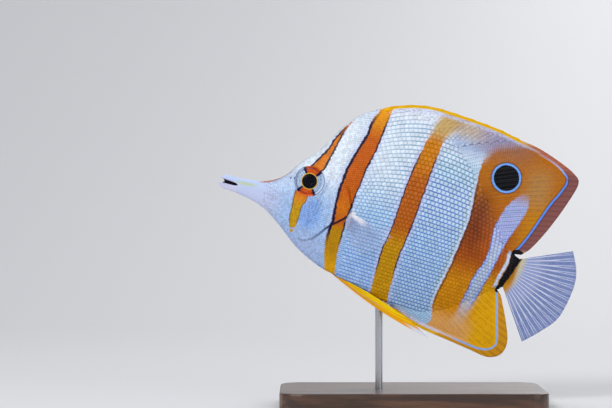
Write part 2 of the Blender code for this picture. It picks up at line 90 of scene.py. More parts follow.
GILL_OUTLINE = [(44.5, 16.8), (49.5, 14.6), (53, 9.5), (54.4, 3), (47.6, -4.3), (43.1, -10.4),
                (38.8, -12.4), (35.6, -9.6), (36.4, -3.4), (40.6, 3.2), (42.6, 10.5)]

# Fins: roots along back or belly, and their edges
SPINY_RAYS, SOFT_RAYS, ANAL_SPINES, ANAL_RAYS, CAUDAL_RAYS = 9, 28, 3, 19, 17
PECTORAL_RAYS, PELVIC_RAYS = 14, 6
SPINY_ROOT, SOFT_ROOT = (53.6, 89), (89, 123.6)
ANAL_ROOT, PELVIC_ROOT = (80.8, 121.6), (54.8, 59.6)
SPINY_TIPS = [(56.6, 49.7), (61.6, 52), (69.4, 54.5), (77.6, 55.6), (90.6, 55.4), (103.6, 54.6),
              (114, 52.95)]
SOFT_TIPS = [(114, 52.95), (121.7, 52), (131.1, 49.4), (138.4, 46.5), (141.6, 43.2), (139.9, 34.9),
             (135.4, 22), (130.7, 12.1), (127.3, 8)]
ANAL_TIPS = [(84.4, -29.2), (89.5, -31.1), (98, -33), (108, -34.1), (118, -35.3), (126.3, -36.1),
             (131.3, -33.4), (132.4, -27.8), (129.2, -19.6), (124, -10)]
CAUDAL_TIPS = [(147.8, 15.8), (151.6, 8), (152.4, 0), (150.2, -12), (144.8, -19.4), (138.2, -26)]
PECTORAL_TOP, PECTORAL_BOTTOM = (55.6, 4), (56.6, -2)
PECTORAL_BASE, PECTORAL_BASE_HALF = (55.9, 1), (1.3, 3.3)
PECTORAL_LENGTH = (21.5, 11)
PECTORAL_ANGLES = (radians(12), radians(78))
PECTORAL_FLARE, PECTORAL_STUB = radians(30), 1
PELVIC_TIPS = [(100.5, -35.3), (92, -31.2), (86, -29), (79, -26.8), (71, -24.6)]
PELVIC_Y, PELVIC_SPREAD, PELVIC_SAG = 1.7, 2.9, 7

COAT = 0.12                      # the skin lies this far inside the solids, for the scales


# The fish's frame

def smooth(start, end, x):
    """0 at start, 1 at end, and smoothly between; end may be the lower one."""
    t = np.clip((np.asarray(x, float) - start) / (end - start), 0, 1)
    return t * t * (3 - 2 * t)


def bump(x, middle, width):
    return np.exp(-(((x - middle) / width) ** 2))


def between(a, b, t):
    return a + (b - a) * t


def place(u, y, v):
    """Points of the fish's frame in metres of the model's frame."""
    u, y, v = np.broadcast_arrays(*(np.asarray(a, float) for a in (u, y, v)))
    sway = SWAY * np.clip((u - SWAY_START) / (SWAY_END - SWAY_START), 0, None) ** 2
    x = TIP_X + u * cos(PITCH) + v * sin(PITCH)
    z = TIP_Z - u * sin(PITCH) + v * cos(PITCH)
    return np.stack((x, y + sway, z), axis=-1) * MM


def along(points, x):
    """The smooth curve through (x, value) points, at x."""
    px, py = np.array(points, float).T
    x = np.clip(np.asarray(x, float), px[0], px[-1])
    slope = np.empty(len(px))
    slope[1:-1] = (py[2:] - py[:-2]) / (px[2:] - px[:-2])
    slope[0] = (py[1] - py[0]) / (px[1] - px[0])
    slope[-1] = (py[-1] - py[-2]) / (px[-1] - px[-2])
    i = np.clip(np.searchsorted(px, x, side="right") - 1, 0, len(px) - 2)
    step = px[i + 1] - px[i]
    t = (x - px[i]) / step
    return ((2 * t ** 3 - 3 * t ** 2 + 1) * py[i] + (t ** 3 - 2 * t ** 2 + t) * step * slope[i]
            + (3 * t ** 2 - 2 * t ** 3) * py[i + 1] + (t ** 3 - t ** 2) * step * slope[i + 1])


def running(steps):
    """Sums of steps from 0 on, along the last axis."""
    return np.concatenate((np.zeros(steps.shape[:-1] + (1,)), np.cumsum(steps, axis=-1)), axis=-1)


def unit(vectors):
    return vectors / np.linalg.norm(vectors, axis=-1, keepdims=True)


def spline(points, t, closed=False):
    """The smooth curve through (u, v) points, at shares t of its length."""
    knots = np.array(points, float)
    knots = np.vstack((knots[-1:] if closed else knots[:1], knots,
                       knots[:2] if closed else knots[-1:]))
    spans = len(knots) - 3
    lengths = np.linalg.norm(knots[2:2 + spans] - knots[1:1 + spans], axis=1)
    ends = running(lengths)
    run = np.clip(np.asarray(t, float), 0, 1) * ends[-1]
    k = np.clip(np.searchsorted(ends, run, side="right") - 1, 0, spans - 1)
    s = ((run - ends[k]) / lengths[k])[..., None]
    a, b, c, d = (knots[k + n] for n in range(4))
    return 0.5 * (2 * b + (c - a) * s + (2 * a - 5 * b + 4 * c - d) * s * s
                  + (3 * b - a - 3 * c + d) * s ** 3)


def segments_of(points, closed):
    ends = np.roll(points, -1, axis=0) if closed else points[1:]
    return (points if closed else points[:-1]), ends


def distance(points, u, v, closed=False):
    """Distance from each place to a line of points."""
    u, v = np.asarray(u, float), np.asarray(v, float)
    best = np.full(u.shape, 1e9)
    for (au, av), (bu, bv) in zip(*segments_of(np.asarray(points, float), closed)):
        du, dv = bu - au, bv - av
        t = np.clip(((u - au) * du + (v - av) * dv) / (du * du + dv * dv + 1e-12), 0, 1)
        best = np.minimum(best, (u - au - t * du) ** 2 + (v - av - t * dv) ** 2)
    return np.sqrt(best)


def inside(points, u, v):
    """Signed distance to a closed outline, positive inside it."""
    u, v = np.asarray(u, float), np.asarray(v, float)
    odd = np.zeros(u.shape, bool)
    for (au, av), (bu, bv) in zip(*segments_of(np.asarray(points, float), True)):
        crosses = (av > v) != (bv > v)
        odd ^= crosses & (u < (bu - au) * (v - av) / (bv - av + 1e-12) + au)
    return np.where(odd, 1, -1) * distance(points, u, v, closed=True)


# The body's surface

def lean(station):
    neck = smooth(LEAN_START, NECK, station) * (1 - smooth(NECK, LEAN_END, station))
    return NECK_LEAN * neck + TAIL_LEAN * smooth(TAIL_LEAN_START, BODY_END, station)


def away(u, v, middle, half=(1, 1)):
    """Distance from a place, or share of the way to an ellipse with these half-axes."""
    return np.hypot((u - middle[0]) / half[0], (v - middle[1]) / half[1])


def surface(station, t):
    """The right side at a station: t from 0 on the back to 1 on the belly.

    Below 0 and above 1 it runs over the flat edges to the middle line.
    """
    station, t = np.broadcast_arrays(np.asarray(station, float), np.asarray(t, float))
    shift = lean(station)
    top_u, low_u = station + shift, station - shift
    c = np.clip(t, 0, 1)
    edge = between(along(BACK_EDGE, station), along(BELLY_EDGE, station), c)
    widest = along(WIDEST, station)
    upper = c < widest
    off = np.where(upper, (widest - c) / widest, (c - widest) / (1 - widest))
    roundness = np.where(upper, along(BACK_ROUNDNESS, station), along(BELLY_ROUNDNESS, station))
    y = edge + (along(HALF_WIDTH, station) - edge) * np.clip(1 - off * off, 0, 1) ** roundness
    y = y * np.clip(1 - np.maximum(-t, t - 1), 0, 1)
    return between(top_u, low_u, c), y, between(along(BACK, top_u), along(BELLY, low_u), c)


GILL_LINE = spline(GILL_OUTLINE, np.linspace(0, 1, 120, endpoint=False), closed=True)
GILL_BONES = spline([(42.4, 7), (41.8, 0), (39.4, -5.8), (35, -9), (29.6, -8.4)],
                    np.linspace(0, 1, 40))


def free_edge(u, v):
    """1 along the free edge of the gill cover, behind and below it."""
    return smooth(38, 44, u + 0.25 * v) * smooth(15, 12, v)


def side_shares(faces):
    """Shares t of half a ring, from the middle of the back to that of the belly."""
    side = 0.5 - 0.5 * np.cos(np.linspace(0, pi, faces + 1))
    return np.concatenate(([-1, -0.5], side, [1.5, 2]))


def relief(u, v):
    """How far the skin stands out of the smooth body, in millimetres."""
    eye, gill = away(u, v, EYE), inside(GILL_LINE, u, v)
    flap = 0.42 * smooth(-0.1, 0.25, gill) * (1 - 0.6 * smooth(0.4, 5, gill))
    out = (0.26 * bump(eye, 6.2, 0.5) - 2.2 * (1 - smooth(ORBIT - 0.6, ORBIT + 0.15, eye))
           + free_edge(u, v) * (flap - 0.32 * bump(gill, -0.35, 0.35))
           - 0.16 * bump(distance(GILL_BONES, u, v), 0, 0.5))
    for nostril in NOSTRILS:
        hole = away(u, v, nostril)
        out = out + 0.1 * bump(hole, 0.62, 0.2) - 0.6 * bump(hole, 0, 0.34)
    return out + 0.75 * bump(away(u, v, PECTORAL_BASE, PECTORAL_BASE_HALF), 0, 0.8)


def skin_at(station, t):
    """The skin of the right side as (u, y, v)."""
    u, y, v = surface(station, t)
    flank = smooth(-0.001, 0.03, np.minimum(t, 1 - t))
    return u, y + flank * relief(u, v) - COAT * np.minimum(1, y), v


class Girth:
    """Where a place of the flank lies on the unwrapped skin, and back."""

    def __init__(self):
        self.stations, self.shares = np.linspace(0, BODY_END, 420), side_shares(159)
        _, y, v = surface(self.stations[:, None], self.shares)
        run = running(np.hypot(np.diff(y, axis=1), np.diff(v, axis=1)))
        middle = int(np.argmin(abs(self.shares - 0.5)))
        self.height = v[:, middle, None] + run[:, middle, None] - run

    def at(self, station, row):
        """Heights of the unwrapped skin along the shares, at one station each."""
        k = np.clip(station / BODY_END * (len(self.stations) - 1), 0, len(self.stations) - 1.001)
        low = k.astype(int)
        share = k - low
        return self.height[low, row] * (1 - share) + self.height[low + 1, row] * share

    def find(self, u, height):
        """Station and share of places (u, height) of the unwrapped skin, and which are on it."""
        u, height = np.broadcast_arrays(np.asarray(u, float), np.asarray(height, float))
        shape, last = u.shape, len(self.shares) - 1
        u, height = u.ravel(), height.ravel()
        station = u
        for _ in range(9):
            low, high = np.zeros(u.shape, int), np.full(u.shape, last)
            for _ in range(8):
                middle = (low + high) // 2
                above = self.at(station, middle) > height
                low, high = np.where(above, middle, low), np.where(above, high, middle)
            after = np.minimum(low + 1, last)
            top, bottom = self.at(station, low), self.at(station, after)
            share = np.clip((top - height) / (top - bottom + 1e-9), 0, 1)
            t = between(self.shares[low], self.shares[after], share)
            tilt = 1 - 2 * np.clip(t, 0, 1)
            station = np.clip(u - lean(station) * tilt, 0, BODY_END)
        good = np.abs(station + lean(station) * tilt - u) <= 0.3
        good &= (height <= self.at(station, 0)) & (height >= self.at(station, last))
        return station.reshape(shape), t.reshape(shape), good.reshape(shape)


GIRTH = Girth()


# Markings, as smooth closed outlines or lines of (u, v)

EYE_BAR_TOP = [(34, 16.8), (34.8, 19.4), (36.7, 22.7), (38.7, 26.9), (40.3, 32), (42.6, 36.6),
               (46.4, 41.9), (44.4, 38.6), (43.2, 34.6), (41.9, 27.9), (40.7, 22.3), (39.7, 17.6),
               (37, 15.8)]
EYE_BAR_LOW = [(31, 6.6), (31.3, -0.1), (31.9, -5.8), (33.2, -9.6), (34.4, -10.3), (35.2, -7.1),
               (35.6, 0.6), (36.6, 5), (34, 7.4)]
BAR_2 = [(56, 54), (54.4, 47.8), (52.4, 42.6), (51.7, 35.5), (50.1, 30.4), (47.9, 19.3), (47.5, 8),
         (48.5, -1), (48.2, -7), (49.5, -14.2), (51, -19), (52.5, -25), (56.5, -25), (55.3, -17.6),
         (54.6, -12.7), (54.5, -5.7), (54.6, 2), (55.2, 11.7), (56.2, 22.4), (57.9, 32.2),
         (58.9, 44), (59.6, 49.6), (61.5, 54)]
BAR_3 = [(81, 56), (78.8, 51.6), (77.2, 46.2), (75.6, 37.6), (74.2, 29.5), (73.2, 19.2),
         (72.6, 3.6), (71.4, -6), (71.6, -13.8), (72.2, -20.1), (73, -30), (79.6, -30),
         (79.2, -18), (79.4, -4.8), (80.4, 4.4), (81.1, 14.6), (81.7, 26.8), (82.9, 41.4),
         (84.9, 46), (88.5, 50.5), (91, 56)]
ORANGE = [(111, 50), (104.6, 47), (101.6, 42.4), (100.9, 36.8), (101.3, 28), (102.1, 16.5),
          (101.3, 6), (99.8, -7), (98.1, -17.1), (98.2, -23), (99.5, -29), (95, -33), (95, -42),
          (140, -45), (131, -12), (129, 6), (138, 12), (150, 40), (145, 60), (120, 53)]
PALE_BAND = [(122.3, 32.8), (118.5, 29.6), (115.6, 24.6), (114, 19), (113.2, 14.6), (113.7, 8),
             (113.2, 1.5), (110.9, -5.5), (110.1, -11.1), (109.1, -17.5), (108.9, -23.5),
             (110.6, -24.6), (113.2, -19.4), (115.4, -11.4), (117.5, -1), (118.6, 5),
             (120.3, 12.4), (123, 20.9), (124.3, 28)]
DORSAL_LINE = [(122.5, 49.9), (129.3, 48.1), (134.3, 45.6), (136.9, 42.6), (135.6, 37.4),
               (132.6, 30.4), (128.8, 18.5), (126.1, 11.5), (123.6, 7.2)]
ANAL_LINE = [(120.4, -6.1), (123.2, -12.5), (125.6, -20.5), (128, -28.2), (127.6, -31.2),
             (125.2, -33.2), (121, -33.8), (116, -33.4), (110, -32.9)]
TAIL_BAND = [(123.7, 9), (128.2, 9), (127, 3), (124.9, -3), (123, -9), (121.2, -9), (121.9, -3),
             (123.3, 3)]
OCELLUS_U, OCELLUS_V, OCELLUS = 112.2, 36.4, 6.07

OUTLINES = {name: spline(points, np.linspace(0, 1, 90, endpoint=False), closed=True)
            for name, points in (("eye_top", EYE_BAR_TOP), ("eye_low", EYE_BAR_LOW),
                                 ("bar_2", BAR_2), ("bar_3", BAR_3), ("orange", ORANGE),
                                 ("pale", PALE_BAND), ("tail", TAIL_BAND))}
BLUE_LINES = [spline(points, np.linspace(0, 1, 60)) for points in (DORSAL_LINE, ANAL_LINE)]
OUTLINES["dorsal"] = np.vstack((BLUE_LINES[0], [(160, 0), (160, 70), (118, 70)]))
OUTLINES["anal"] = np.vstack((BLUE_LINES[1], [(104, -32.3), (80, -45), (160, -45),
                                             (130, -4)]))
RIMS = [spline(SPINY_TIPS + SOFT_TIPS[1:], np.linspace(0, 1, 90)),
        spline(ANAL_TIPS, np.linspace(0, 1, 60))]


def depth_in(u, v, *names):
    """How far places lie inside the nearest of some outlines."""
    return np.maximum.reduce([inside(OUTLINES[name], u, v) for name in names])


def mark(mesh, u, v, extra):
    """Give the mesh what its markings are painted from: its places and distances.

    extra holds three numbers for each point, whose meaning is each coat's own.
    """
    u, v = np.asarray(u, float).ravel(), np.asarray(v, float).ravel()
    line, rim = (np.minimum(*(distance(points, u, v) for points in pair))
                 for pair in (BLUE_LINES, RIMS))
    layers = {
        "fish": (u, v, distance(GILL_LINE, u, v)),
        "bars": (depth_in(u, v, "eye_top", "eye_low"), depth_in(u, v, "bar_2"),
                 depth_in(u, v, "bar_3")),
        "rear": [depth_in(u, v, name) for name in ("orange", "pale", "tail")],
        "edge": (line, depth_in(u, v, "dorsal", "anal"), rim),
        "part": extra,
    }
    for name, values in layers.items():
        data = np.stack([np.broadcast_to(a, u.shape) for a in values], axis=-1)
        layer = mesh.attributes.new(name, "FLOAT_VECTOR", "POINT")
        layer.data.foreach_set("vector", data.astype(np.float32).ravel())


# Meshes

def new_mesh(name, points, triangles):
    """A mesh from arrays of points in the fish's frame and of triangles, turned outwards."""
    points, triangles = place(*points.T).astype(np.float32), triangles.astype(np.int32)
    a, b, c = (points[triangles[:, k]] for k in range(3))
    if np.einsum("ij,ij->i", a, np.cross(b, c)).sum() < 0:
        triangles = triangles[:, ::-1]
    mesh = bpy.data.meshes.new(name)
    mesh.vertices.add(len(points))
    mesh.vertices.foreach_set("co", points.ravel())
    mesh.loops.add(triangles.size)
    mesh.loops.foreach_set("vertex_index", triangles.ravel())
    mesh.polygons.add(len(triangles))
    mesh.polygons.foreach_set("loop_start", np.arange(0, triangles.size, 3, dtype=np.int32))
    mesh.update(calc_edges=True)
    mesh.shade_smooth()
    return mesh


def bake_map(mesh, uv):
    """The UV map that the colours are baked by, from one place for each point."""
    index = np.empty(len(mesh.loops), np.int32)
    mesh.loops.foreach_get("vertex_index", index)
    layer = mesh.uv_layers.new(name="OFBake")
    layer.data.foreach_set("uv", np.asarray(uv, np.float32)[index].ravel())


def piece(name, mesh, mat, slot, *nodes):
    obj = bpy.data.objects.new(name, mesh)
    bpy.context.scene.collection.objects.link(obj)
    mesh.materials.append(mat)
    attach(obj, BODY)
    if nodes:
        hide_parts(*nodes)
    return obj


def strips(index, closed=False):
    """Triangles over a grid of point numbers."""
    index = np.asarray(index)
    if closed:
        index = np.concatenate((index, index[:, :1]), axis=1)
    a, b, c, d = index[:-1, :-1], index[1:, :-1], index[1:, 1:], index[:-1, 1:]
    return np.concatenate((np.stack((a, b, c), -1).reshape(-1, 3),
                           np.stack((a, c, d), -1).reshape(-1, 3)))


def fan(ring, middle, flip=False):
    ring = np.asarray(ring)
    after = np.roll(ring, -1)
    faces = np.stack((ring, after, np.full(ring.shape, middle)), -1)
    return faces[:, ::-1] if flip else faces


# Skin

SIDE_FACES = 120
JAW_STATIONS = 34
ROOF = np.cos(np.linspace(0, pi, 9))[1:-1]     # across the lining of the mouth


def jaw_rings(jaw, x, shares):
    """Outer and inner points of the right half of a jaw as (u, y, v)."""
    tip, outline, lip, other_lip, arch = jaw
    outer, edge, rim = along(outline, x), along(lip, x), along(BACK_EDGE, x)
    width = along(HALF_WIDTH, x) - COAT
    r = np.clip(shares, 0, 1)
    front = 1 - smooth(3.5, MOUTH_CORNER, x)
    y = rim + (width - rim) * np.sqrt(np.clip(1 - (1 - r) ** 2, 0, 1))
    y = y * (1 - 0.34 * front * smooth(0.8, 1, r)) + 0.13 * front * bump(r, 0.8, 0.13)
    shrink = np.sqrt(1 - (1 - np.clip((x - tip) / TIP_ROUNDING, 0, 1)) ** 2)
    y = y * np.clip(1 + np.minimum(shares, 0), 0, 1) * shrink
    middle = between(outer, edge, 0.55)
    v = middle + (between(outer, edge, r) - middle) * shrink
    lift = arch * (1 - smooth(0.8, 2, x)) * shrink
    # The linings reach halfway to the other lip and close the mouth behind its tip with a sheet,
    # painted near-black as the shade inside the mouth
    closed = 0.51 * (along(other_lip, x) - edge) * smooth(0.9, 2.2, x)
    inner_v = v[:, -1:] + lift * (1 - ROOF ** 2) + closed * smooth(0.85, 0.35, np.abs(ROOF))
    return (np.stack((x + 0 * y, y, v), -1),
            np.stack((x + 0 * inner_v, y[:, -1:] * ROOF, inner_v), -1))


def make_skin(mat):
    """One closed skin from the tips of the jaws to the root of the tail fin."""
    shares = side_shares(SIDE_FACES)
    stations = np.concatenate((np.arange(MOUTH_CORNER, 56, 0.3), np.linspace(56, BODY_END, 128)))
    right = np.stack(skin_at(stations[:, None], shares), -1)
    rings = np.concatenate((right, right[:, -2:0:-1] * (1, -1, 1)), axis=1)
    parts, mouth_shade = [], []

    def add(points, dark):
        """Put points down and return their numbers; dark ones line the mouth and are painted as
        its shade.
        """
        first = sum(map(len, parts))
        parts.append(points.reshape(-1, 3))
        mouth_shade.append(np.broadcast_to(dark, points.shape[:-1]).ravel())
        return first + np.arange(len(parts[-1])).reshape(points.shape[:-1])

    main = add(rings, 0)
    triangles = [strips(main, closed=True)]
    top, low = along(BACK, MOUTH_CORNER), along(BELLY, MOUTH_CORNER)
    mouth = 2 + int(np.argmin(abs(shares[2:-2] - (top - UPPER_LIP[-1][1]) / (top - low))))
    left = rings.shape[1] - mouth
    _, corner_y, corner_v = rings[0, mouth]
    web = add(np.stack((MOUTH_CORNER + 0 * ROOF, corner_y * ROOF, corner_v + 0 * ROOF), -1), 1)
    halves = ((1, shares[:mouth + 1], (main[0, left:], main[0, :mouth + 1], web)),
              (-1, (1 - shares[mouth:])[::-1], (main[0, mouth:left + 1], web[::-1])))
    for jaw, (side, reach, corner) in zip(JAWS, halves):
        steps = np.linspace(0, 1, JAW_STATIONS + 1)[:-1, None] ** 1.6
        outer, inner = jaw_rings(jaw, between(jaw[0] + 0.004, MOUTH_CORNER, steps),
                                 reach / np.where(reach > 0, reach[-1], 1))
        loops = np.concatenate((outer[:, ::-1] * (1, -side, 1), outer[:, 1:] * (1, side, 1),
                                inner * (1, side, 1)), axis=1)
        count = loops.shape[1]
        index = add(loops, np.arange(count) >= count - len(ROOF))
        triangles.append(strips(np.vstack((index, np.concatenate(corner))), closed=True))
        triangles.append(fan(index[0], add(loops[:1].mean(axis=1), 0)))
    end = add(rings[-1:].mean(axis=1) * (1, 0, 1), 0)
    triangles.append(fan(main[-1], end, flip=True))
    points = np.concatenate(parts)
    mesh = new_mesh("skin", points, np.concatenate(triangles))
    mark(mesh, points[:, 0], points[:, 2], (np.abs(points[:, 1]), np.concatenate(mouth_shade), 0))
    return piece("skin", mesh, mat, "pearl_skin", "head", "trunk", "peduncle", "upper_jaw",
                 "lower_jaw", "gill_cover_left", "gill_cover_right")


# Scales

rng = np.random.default_rng(7)


ALONG_FINE = (-0.5, -0.25, 0, 0.2, 0.35, 0.45, 0.5)
ALONG_COARSE = (-0.5, -0.1, 0.25, 0.44, 0.5)
ACROSS_FINE = (-1, -0.86, -0.45, 0, 0.45, 0.86, 1)
ACROSS_COARSE = (-1, -0.8, 0, 0.8, 1)


def scale_shape(fine):
    """One scale, a thin closed shell: places (along, across), heights and triangles."""
    a = np.array(ALONG_FINE if fine else ALONG_COARSE)[:, None]
    b = np.array(ACROSS_FINE if fine else ACROSS_COARSE)[None, :]
    width = np.where(a < 0, 0.9 + 0.1 * smooth(-0.5, 0, a),
                     np.sqrt(np.clip(1 - (a / 0.53) ** 2, 0, 1)))
    plan = np.stack((a - 0.05 * b ** 2 * smooth(0.2, 0.5, a), b * width), -1)
    height = (-0.05 + 0.15 * smooth(-0.55, 0.55, a) + 0.06 * (1 - b ** 2)
              - 0.035 * smooth(0.44, 0.5, a))
    index = np.arange(height.size).reshape(height.shape)
    triangles = np.concatenate((strips(index), fan(rim_of(index), height.size)))
    return np.vstack((plan.reshape(-1, 2), [(0, 0)])), np.append(height.ravel(), -0.06), triangles


def scales(name, roots, tangent, across, length, width, places, mat, slot, fine=True):
    """A mesh of scales for each side, set on the skin by their roots and directions.

    places are where the roots lie on the unwrapped skin, in the bake's own square.
    """
    plan, height, triangles = scale_shape(fine)
    count, corners = len(roots), len(plan)
    tangent = unit(tangent)
    normal = unit(np.cross(across, tangent))
    across = np.cross(tangent, normal)
    every = (triangles + (np.arange(count) * corners)[:, None, None]).reshape(-1, 3)
    square = places[:, None] + plan * (0.0015, 0.00075)
    for side, word in SIDES:
        turn = rng.normal(0, 0.04, count)[:, None]
        ahead, aside = tangent + across * turn, across - tangent * turn
        size = 1 + rng.normal(0, 0.03, count)
        long, wide = length * size, width * size
        grow = np.clip((wide / 0.9) ** 1.3, 0.3, 1.1)
        lift = height * grow[:, None] + rng.uniform(0, 0.015, count)[:, None]
        points = (roots[:, None] + ahead[:, None] * (plan[:, :1] * long[:, None, None])
                  + aside[:, None] * (plan[:, 1:] * wide[:, None, None])
                  + normal[:, None] * lift[..., None]).reshape(-1, 3)
        mesh = new_mesh(f"{name}_{word}", points * (1, side, 1), every)
        mark(mesh, points[:, 0], points[:, 2],
             (np.tile(plan[:, 0], count), np.tile(plan[:, 1], count),
              np.repeat(rng.random(count), corners)))
        bake_map(mesh, square.reshape(-1, 2))
        piece(f"{name}_{word}", mesh, mat, slot)


UNWRAP_SIZE = 135


def unwrapped(u, height):
    """The bake's square for places of the unwrapped skin."""
    return np.stack(((u + 2) / UNWRAP_SIZE, (height + 50) / UNWRAP_SIZE), -1)


FINE_ZONE = [(60.5, 60), (58.4, 44), (57, 30), (55.6, 16), (54.9, 3), (56.4, -6), (57, -14),
             (59, -40), (-5, -40), (-5, 60)]
SCALE_LENGTH, SCALE_HALF, ALONG_ROW = 1.62, 0.64, 0.96      # in steps between the rows
BOW = 82                         # where the rows of the flank turn from rising to falling
BACK_FREE, BELLY_FREE = 53, 82   # behind these the scales leave the middle line to the fins


def row_heights(fine):
    """Rows of scales on the unwrapped skin: finer on the head, widest apart on the back."""
    rows = [-62]
    while rows[-1] < 96:
        rows.append(rows[-1] + float(0.86 if fine else 1.5 + 0.42 * smooth(-4, 26, rows[-1])))
    return np.array(rows)


def row_tilt(fine, height):
    """How much the rows at a height climb or bow."""
    return 0.42 * smooth(0, 34, height) if fine else 0.6 * smooth(-8, 48, height)


def row_places(fine):
    """Roots of the scales in rows that follow the body, on the unwrapped skin."""
    levels = row_heights(fine)
    rows, steps = levels[:-1, None], np.diff(levels)[:, None]
    u = np.arange(15, 62, 0.12) if fine else np.arange(50, 125.4, 0.15)
    middle = int(np.argmin(abs(u - (45 if fine else BOW))))
    if fine:
        height = rows + row_tilt(fine, rows) * (u - 50)
    else:
        height = rows - row_tilt(fine, rows) * ((u - BOW) ** 2 / np.where(u < BOW, 48, 110))
    station, t, good = GIRTH.find(u, height)
    points = np.stack(skin_at(station, t), -1)
    run = np.linalg.norm(np.diff(points, axis=1), axis=2)
    run = running(np.where(good[:, 1:] & good[:, :-1], run, 0))
    phase = 0.5 * (np.arange(len(rows)) % 2)[:, None]
    turn = np.floor((run - run[:, middle, None]) / (ALONG_ROW * steps) + phase)
    pick = np.zeros(t.shape, bool)
    pick[:, 1:] = (np.diff(turn, axis=1) > 0) & good[:, 1:]
    pu, pv = points[..., 0], points[..., 2]
    pick &= (inside(FINE_ZONE, pu, pv) > 0) == fine
    pick &= away(pu, pv, EYE) > EYE_BARE
    pick &= np.abs(inside(GILL_LINE, pu, pv)) > np.where(free_edge(pu, pv) > 0.5, 0.42, -1)
    pick &= away(pu, pv, PECTORAL_BASE, PECTORAL_BASE_HALF) > 1.15
    pick &= (t > np.where(pu < BACK_FREE, -0.95, 0.006))
    pick &= (t < np.where(pu < BELLY_FREE, 1.9, 0.992))
    pick &= pu > 17 + 6 * rng.random(pu.shape)
    for nostril in NOSTRILS:
        pick &= away(pu, pv, nostril) > 0.9
    return (np.broadcast_to(u, t.shape)[pick], height[pick], points[pick],
            np.broadcast_to(steps, t.shape)[pick])


def surface_frame(u, height):
    """Directions along and across the unwrapped skin at places of it."""
    def at(du, dh):
        return np.stack(skin_at(*GIRTH.find(u + du, height + dh)[:2]), -1)
    return at(0.4, 0) - at(-0.4, 0), at(0, 0.4) - at(0, -0.4)


def make_body_scales(mat):
    for fine in (False, True):
        u, height, roots, steps = row_places(fine)
        tangent, across = surface_frame(u, height)
        slope = row_tilt(fine, height)
        if fine:
            steps = steps * (0.6 + 0.4 * smooth(16, 32, u))
        else:
            slope = slope * ((BOW - u) / np.where(u < BOW, 24, 55))
        scales("head_scales" if fine else "body_scales", roots,
               tangent + across * slope[:, None], across, SCALE_LENGTH * steps,
               SCALE_HALF * steps, unwrapped(u, height), mat, "pearl_skin", not fine)


# Fins

def edge_line(edge, span, shares, outwards, sink):
    """Places along the back or belly, sunk into the body, and the way out of it."""
    u = between(span[0], span[1], shares)
    slope = along(edge, u + 0.5) - along(edge, u - 0.5)
    scale = outwards / np.hypot(slope, 1)
    way = np.stack((-slope * scale, scale), -1)
    return np.stack((u, along(edge, u)), -1) - way * sink, way


def ridge(s, t, rays, split=0.45, fine=0.72, width=0.16):
    """Height of the rays, 0 to 1, each forking twice on its way out."""
    f = np.mod(s * rays, 1) - 0.5
    fork, twig = 0.16 * smooth(split, 0.85, t), 0.07 * smooth(fine, 1, t)
    sigma = between(width, 0.05, smooth(split, 1, t))
    best = np.zeros(np.broadcast(s, t).shape)
    for a in (-1, 1):
        for b in (-1, 1):
            best = np.maximum(best, np.exp(-(((f - a * fork - b * twig) / sigma) ** 2)))
    return best


